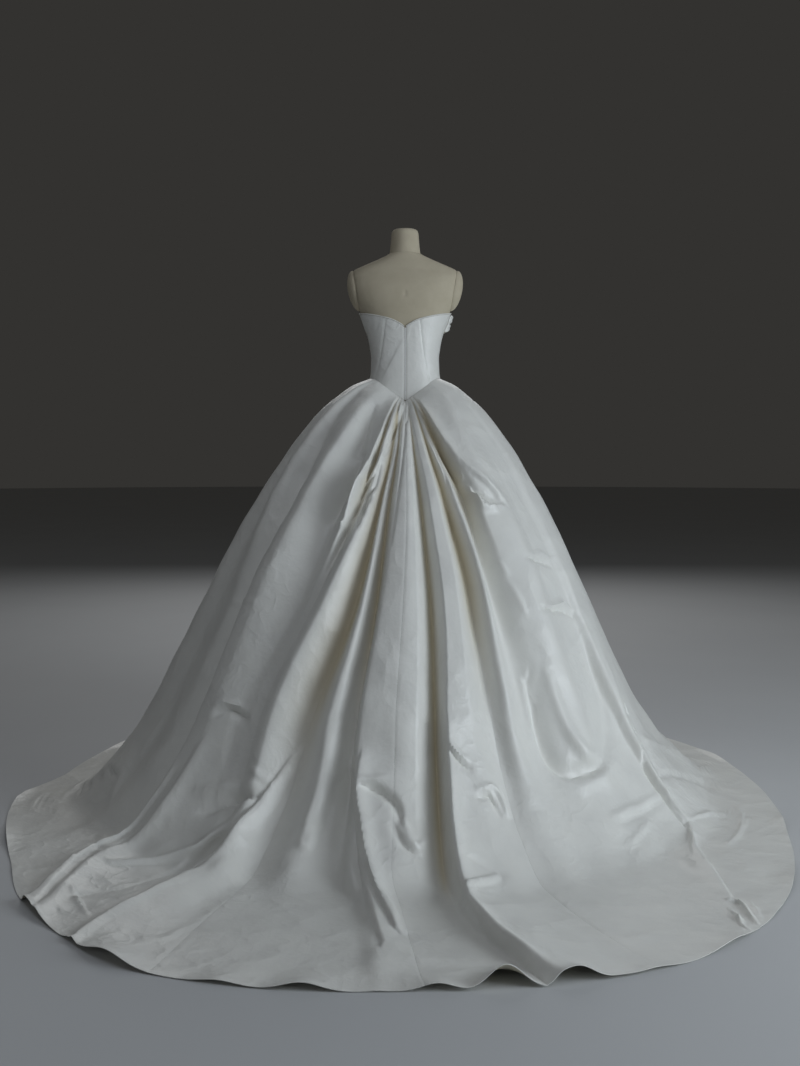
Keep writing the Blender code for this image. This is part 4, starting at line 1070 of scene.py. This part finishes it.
def make_bodice(cloth):
    """Seven bodice panels from the waist seam to the neckline, pressed along their seams."""
    share = np.linspace(1.0, 0.0, BODICE_ROWS)[:, None]
    for number, name in enumerate(BODICE_PANELS):
        first = BODICE_SEAMS[number]
        last = BODICE_SEAMS[number + 1]
        columns = int((last[1] - first[1]) * BODICE_COLUMNS_A_DEGREE) + BODICE_LEAST_COLUMNS
        across = np.linspace(0.0, 1.0, columns)[None, :]
        start = first[1] + (first[2] - first[1]) * share
        end = last[1] + (last[2] - last[1]) * share
        angle = start + (end - start) * across
        top = by_angle(NECKLINE, angle) - 2.0 * EDGE_RADIUS - EDGE_STAND_OFF
        low = waist_height(angle) + WAIST_SEAM_GAP
        height = low + (top - low) * share
        bare = bodice_point(angle, height, 0.0)
        creases = np.zeros(angle.shape)
        for stations, *sizes in BODICE_CREASES:
            creases += crease_relief(bare, 0.0, bodice_point(*smooth_line(stations), 0.0), *sizes)
        facing = level_out(angle)
        inner = drawn_in(bare, facing)
        shown = np.sin(math.pi * np.clip(share, 0.0, 1.0)) ** BODICE_CREASE_POWER
        thick = seam_dip(bare, BODICE_WALL) + creases * shown
        piece = add_cloth(name, inner, inner + facing * thick[..., None], bare, cloth)


def make_neckline_edge(cloth):
    """Binding folded over the top of the bodice: a strip bent round the neckline line through most of a
    circle, open at the bottom where it is sewn on."""
    angle = np.linspace(ZIP_OPENING_ANGLE, 360.0 - ZIP_OPENING_ANGLE, EDGE_COLUMNS)
    centre = bodice_point(angle, by_angle(NECKLINE, angle) - EDGE_RADIUS, BODICE_WALL / 2.0)
    up = np.array([0.0, 0.0, 1.0])
    bend = np.radians(np.linspace(-EDGE_BEND, EDGE_BEND, EDGE_ROWS))[:, None, None]
    circle = level_out(angle)[None] * np.sin(bend) + up * np.cos(bend)
    uneven = EDGE_RADIUS * (1.0 + EDGE_UNEVEN * np.sin(np.radians(angle) * EDGE_WAVES))
    strip = centre[None] + circle * uneven[None, :, None] * EDGE_FULLNESS
    half_wall = circle * EDGE_CLOTH / 2.0
    piece = add_cloth("neckline_edge", strip - half_wall, strip + half_wall, strip, cloth)


def make_zip(tape, coil):
    """Zip tape in the centre-back opening with its two rows of coil teeth, one tooth pitch apart."""
    low = float(waist_height(ZIP_OPENING_ANGLE)) + ZIP_FOOT_LIFT
    high = float(by_angle(NECKLINE, np.array([0.0]))[0]) - ZIP_TOP_DROP
    height = np.linspace(high, low, ZIP_ROWS)[:, None]
    x = np.linspace(-ZIP_HALF_WIDTH, ZIP_HALF_WIDTH, ZIP_COLUMNS)[None, :]
    face = FORM_CLEARANCE + BODICE_WALL - ZIP_RECESS
    back = -(torso_radius(0.0, height) + face - ZIP_THICKNESS)
    inner = np.stack(np.broadcast_arrays(x, back, height), axis=-1)
    outer = inner - np.array([0.0, ZIP_THICKNESS * ZIP_TAPE_SHARE, 0.0])
    verts, faces, _ = shell_mesh(inner, outer)
    add_piece("zip_tape", verts, faces, (tape,), "back_zip")
    place = np.arange(low + TOOTH_END_GAP, high - TOOTH_END_GAP, TOOTH_PITCH)
    depth = -(torso_radius(0.0, place) + face - ZIP_THICKNESS * ZIP_TEETH_SHARE)
    square = ((-1.0, -1.0), (1.0, -1.0), (1.0, 1.0), (-1.0, 1.0))
    corners = np.array([(a, b, c) for c in (-1.0, 1.0) for a, b in square])
    cube = np.array([(0, 3, 2, 1), (4, 5, 6, 7), (0, 1, 5, 4), (1, 2, 6, 5), (2, 3, 7, 6), (3, 0, 4, 7)])
    points = []
    for side in (-1.0, 1.0):
        middle = [np.full(len(place), side * TOOTH_SIDE_SHIFT), depth, place + side * TOOTH_STAGGER]
        points.append(np.stack(middle, axis=1)[:, None] + corners * np.array(TOOTH_HALF_SIZE))
    points = np.concatenate(points)
    faces = (np.arange(len(points)) * len(corners))[:, None, None] + cube[None]
    add_piece("zip_teeth", points.reshape(-1, 3), faces.reshape(-1, 4), (coil,), None, sharp=30.0)


def make_side_bow(cloth):
    """Folded loop of satin at the side of the neckline: a panel bulged out, pinched at its middle, with
    a notch and three soft folds running out of it."""
    v = np.linspace(1.0, 0.0, BOW_ROWS)[:, None]
    u = np.linspace(0.0, 1.0, BOW_COLUMNS)[None, :]
    angle = BOW_ANGLES[0] + (BOW_ANGLES[1] - BOW_ANGLES[0]) * u + 0.0 * v
    pinch = BOW_PINCH * (1.0 + np.cos(2.0 * math.pi * (u - 0.5)))
    middle = sum(BOW_HEIGHTS) / 2.0
    tall = BOW_HEIGHTS[1] - BOW_HEIGHTS[0]
    height = middle + tall / 2.0 * (2.0 * v - 1.0) * (1.0 - pinch)
    loop = np.sin(math.pi * u) ** BOW_ROUNDNESS
    depth, place, spread = BOW_NOTCH
    notch = 1.0 - depth * np.exp(-((v - place) / spread) ** 2)
    folds = BOW_FOLD_HEIGHT * np.sin(2.0 * BOW_FOLDS * math.pi * v + BOW_FOLD_LEAN * u) * loop
    inner = bodice_point(angle, height, BODICE_WALL + BOW_STAND_OFF + BOW_PROUD * loop * notch + folds)
    normals = normals_of(inner)
    normals = normals * np.sign((normals * level_out(angle)).sum(axis=-1, keepdims=True))
    piece = add_cloth("side_bow", inner, inner + normals * BOW_WALL, inner, cloth)


def cap_plane(height):
    """Distance from the middle of the flat face that carries a shoulder cap, growing evenly with
    height."""
    return CAP_PLANE_X + CAP_PLANE_SLOPE * (height - CAP_PLANE_HEIGHT)


def add_linen(name, rings, linen):
    """One piece of the form: a closed body through rings of points."""
    verts, faces = ring_mesh(rings)
    add_piece("linen_" + name, verts, faces, (linen,), "form_" + name, sharp=40.0)


def make_form(linen):
    """Linen-covered form: torso with its pressed back seams, neck block and two shoulder caps."""
    angle = np.linspace(0.0, 360.0, TORSO_COLUMNS, endpoint=False)[None, :]
    height = np.linspace(TORSO_SECTIONS[0][0], TORSO_SECTIONS[-1][0], TORSO_ROWS)[:, None]
    radius = torso_radius(angle, height)
    shoulder = np.clip((height - BACK_SEAM_FOOT) / BACK_SEAM_FADE, 0.0, 1.0)
    for side in (-1.0, 1.0):
        seam = side * (BACK_SEAM_ANGLE + (height - BACK_SEAM_MIDDLE) * BACK_SEAM_LEAN)
        beside = (wrapped(angle) - seam) / BACK_SEAM_WIDTH_ANGLE
        radius = radius - BACK_SEAM_DEPTH * shoulder * np.exp(-beside ** 2)
    across = wrapped(angle) / DIMPLE_HALF_ANGLE
    up = (height - DIMPLE_HEIGHT) / DIMPLE_HALF_HEIGHT
    radius = radius - DIMPLE_DEPTH * np.exp(-across ** 2 - up ** 2)
    rings = polar(radius, angle + 0.0 * height, height + 0.0 * angle)
    limit = np.where(rings[..., 2] > CAP_PLANE_HEIGHT, cap_plane(rings[..., 2]), 1.0)
    rings[..., 0] = np.clip(rings[..., 0], -limit, limit)
    add_linen("torso", rings, linen)
    neck = np.asarray(NECK_SECTIONS)
    sections = steady(neck[:, 0], neck[:, 1:], np.linspace(0.0, 1.0, NECK_ROWS))
    turn = np.radians(np.linspace(0.0, 360.0, NECK_COLUMNS, endpoint=False))
    rings = [
        np.stack([a * np.sin(turn), -b * np.cos(turn), 0.0 * turn + z], axis=-1) for z, a, b in sections
    ]
    add_linen("neck", rings, linen)
    for name, sign in (("cap_right", 1.0), ("cap_left", -1.0)):
        rings = []
        for lift in np.radians(np.linspace(0.0, CAP_LAST_ANGLE, CAP_ROWS)):
            reach = math.cos(lift)
            y = CAP_HALF_DEPTH * reach * np.cos(turn) - CAP_BACK_SHIFT
            z = CAP_CENTRE_HEIGHT + CAP_HALF_HEIGHT * reach * np.sin(turn)
            x = cap_plane(z) + CAP_GAP + CAP_BULGE * math.sin(lift)
            rings.append(np.stack([sign * x, y, z], axis=-1))
        add_linen(name, rings, linen)


def dress_stand(steel, paint):
    """The stand's own solids have the right shape, so they stay and take their finish."""
    for name, made in (("stand_pole", steel), ("stand_base", paint)):
        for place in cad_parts[name].material_slots:
            place.material = made


make_stage()
satin = satin_material("ivory_duchess_satin", "#ecece6", "#dededa", 0.38, 0.08)
satin_back = satin_material("wrong_side_of_duchess_satin", "#ddd8c6", "#d3cdb8", 0.62, 0.05)
make_skirt((satin, satin_back))
make_bodice((satin, satin_back))
make_neckline_edge((satin, satin_back))
zip_tape = zip_material("woven_polyester_tape", "#c9cac8", 0.6)
make_zip(zip_tape, zip_material("polyester_coil", "#d9d9d6", 0.4))
make_side_bow((satin, satin_back))
make_form(linen_material())
dress_stand(steel_material(), paint_material())
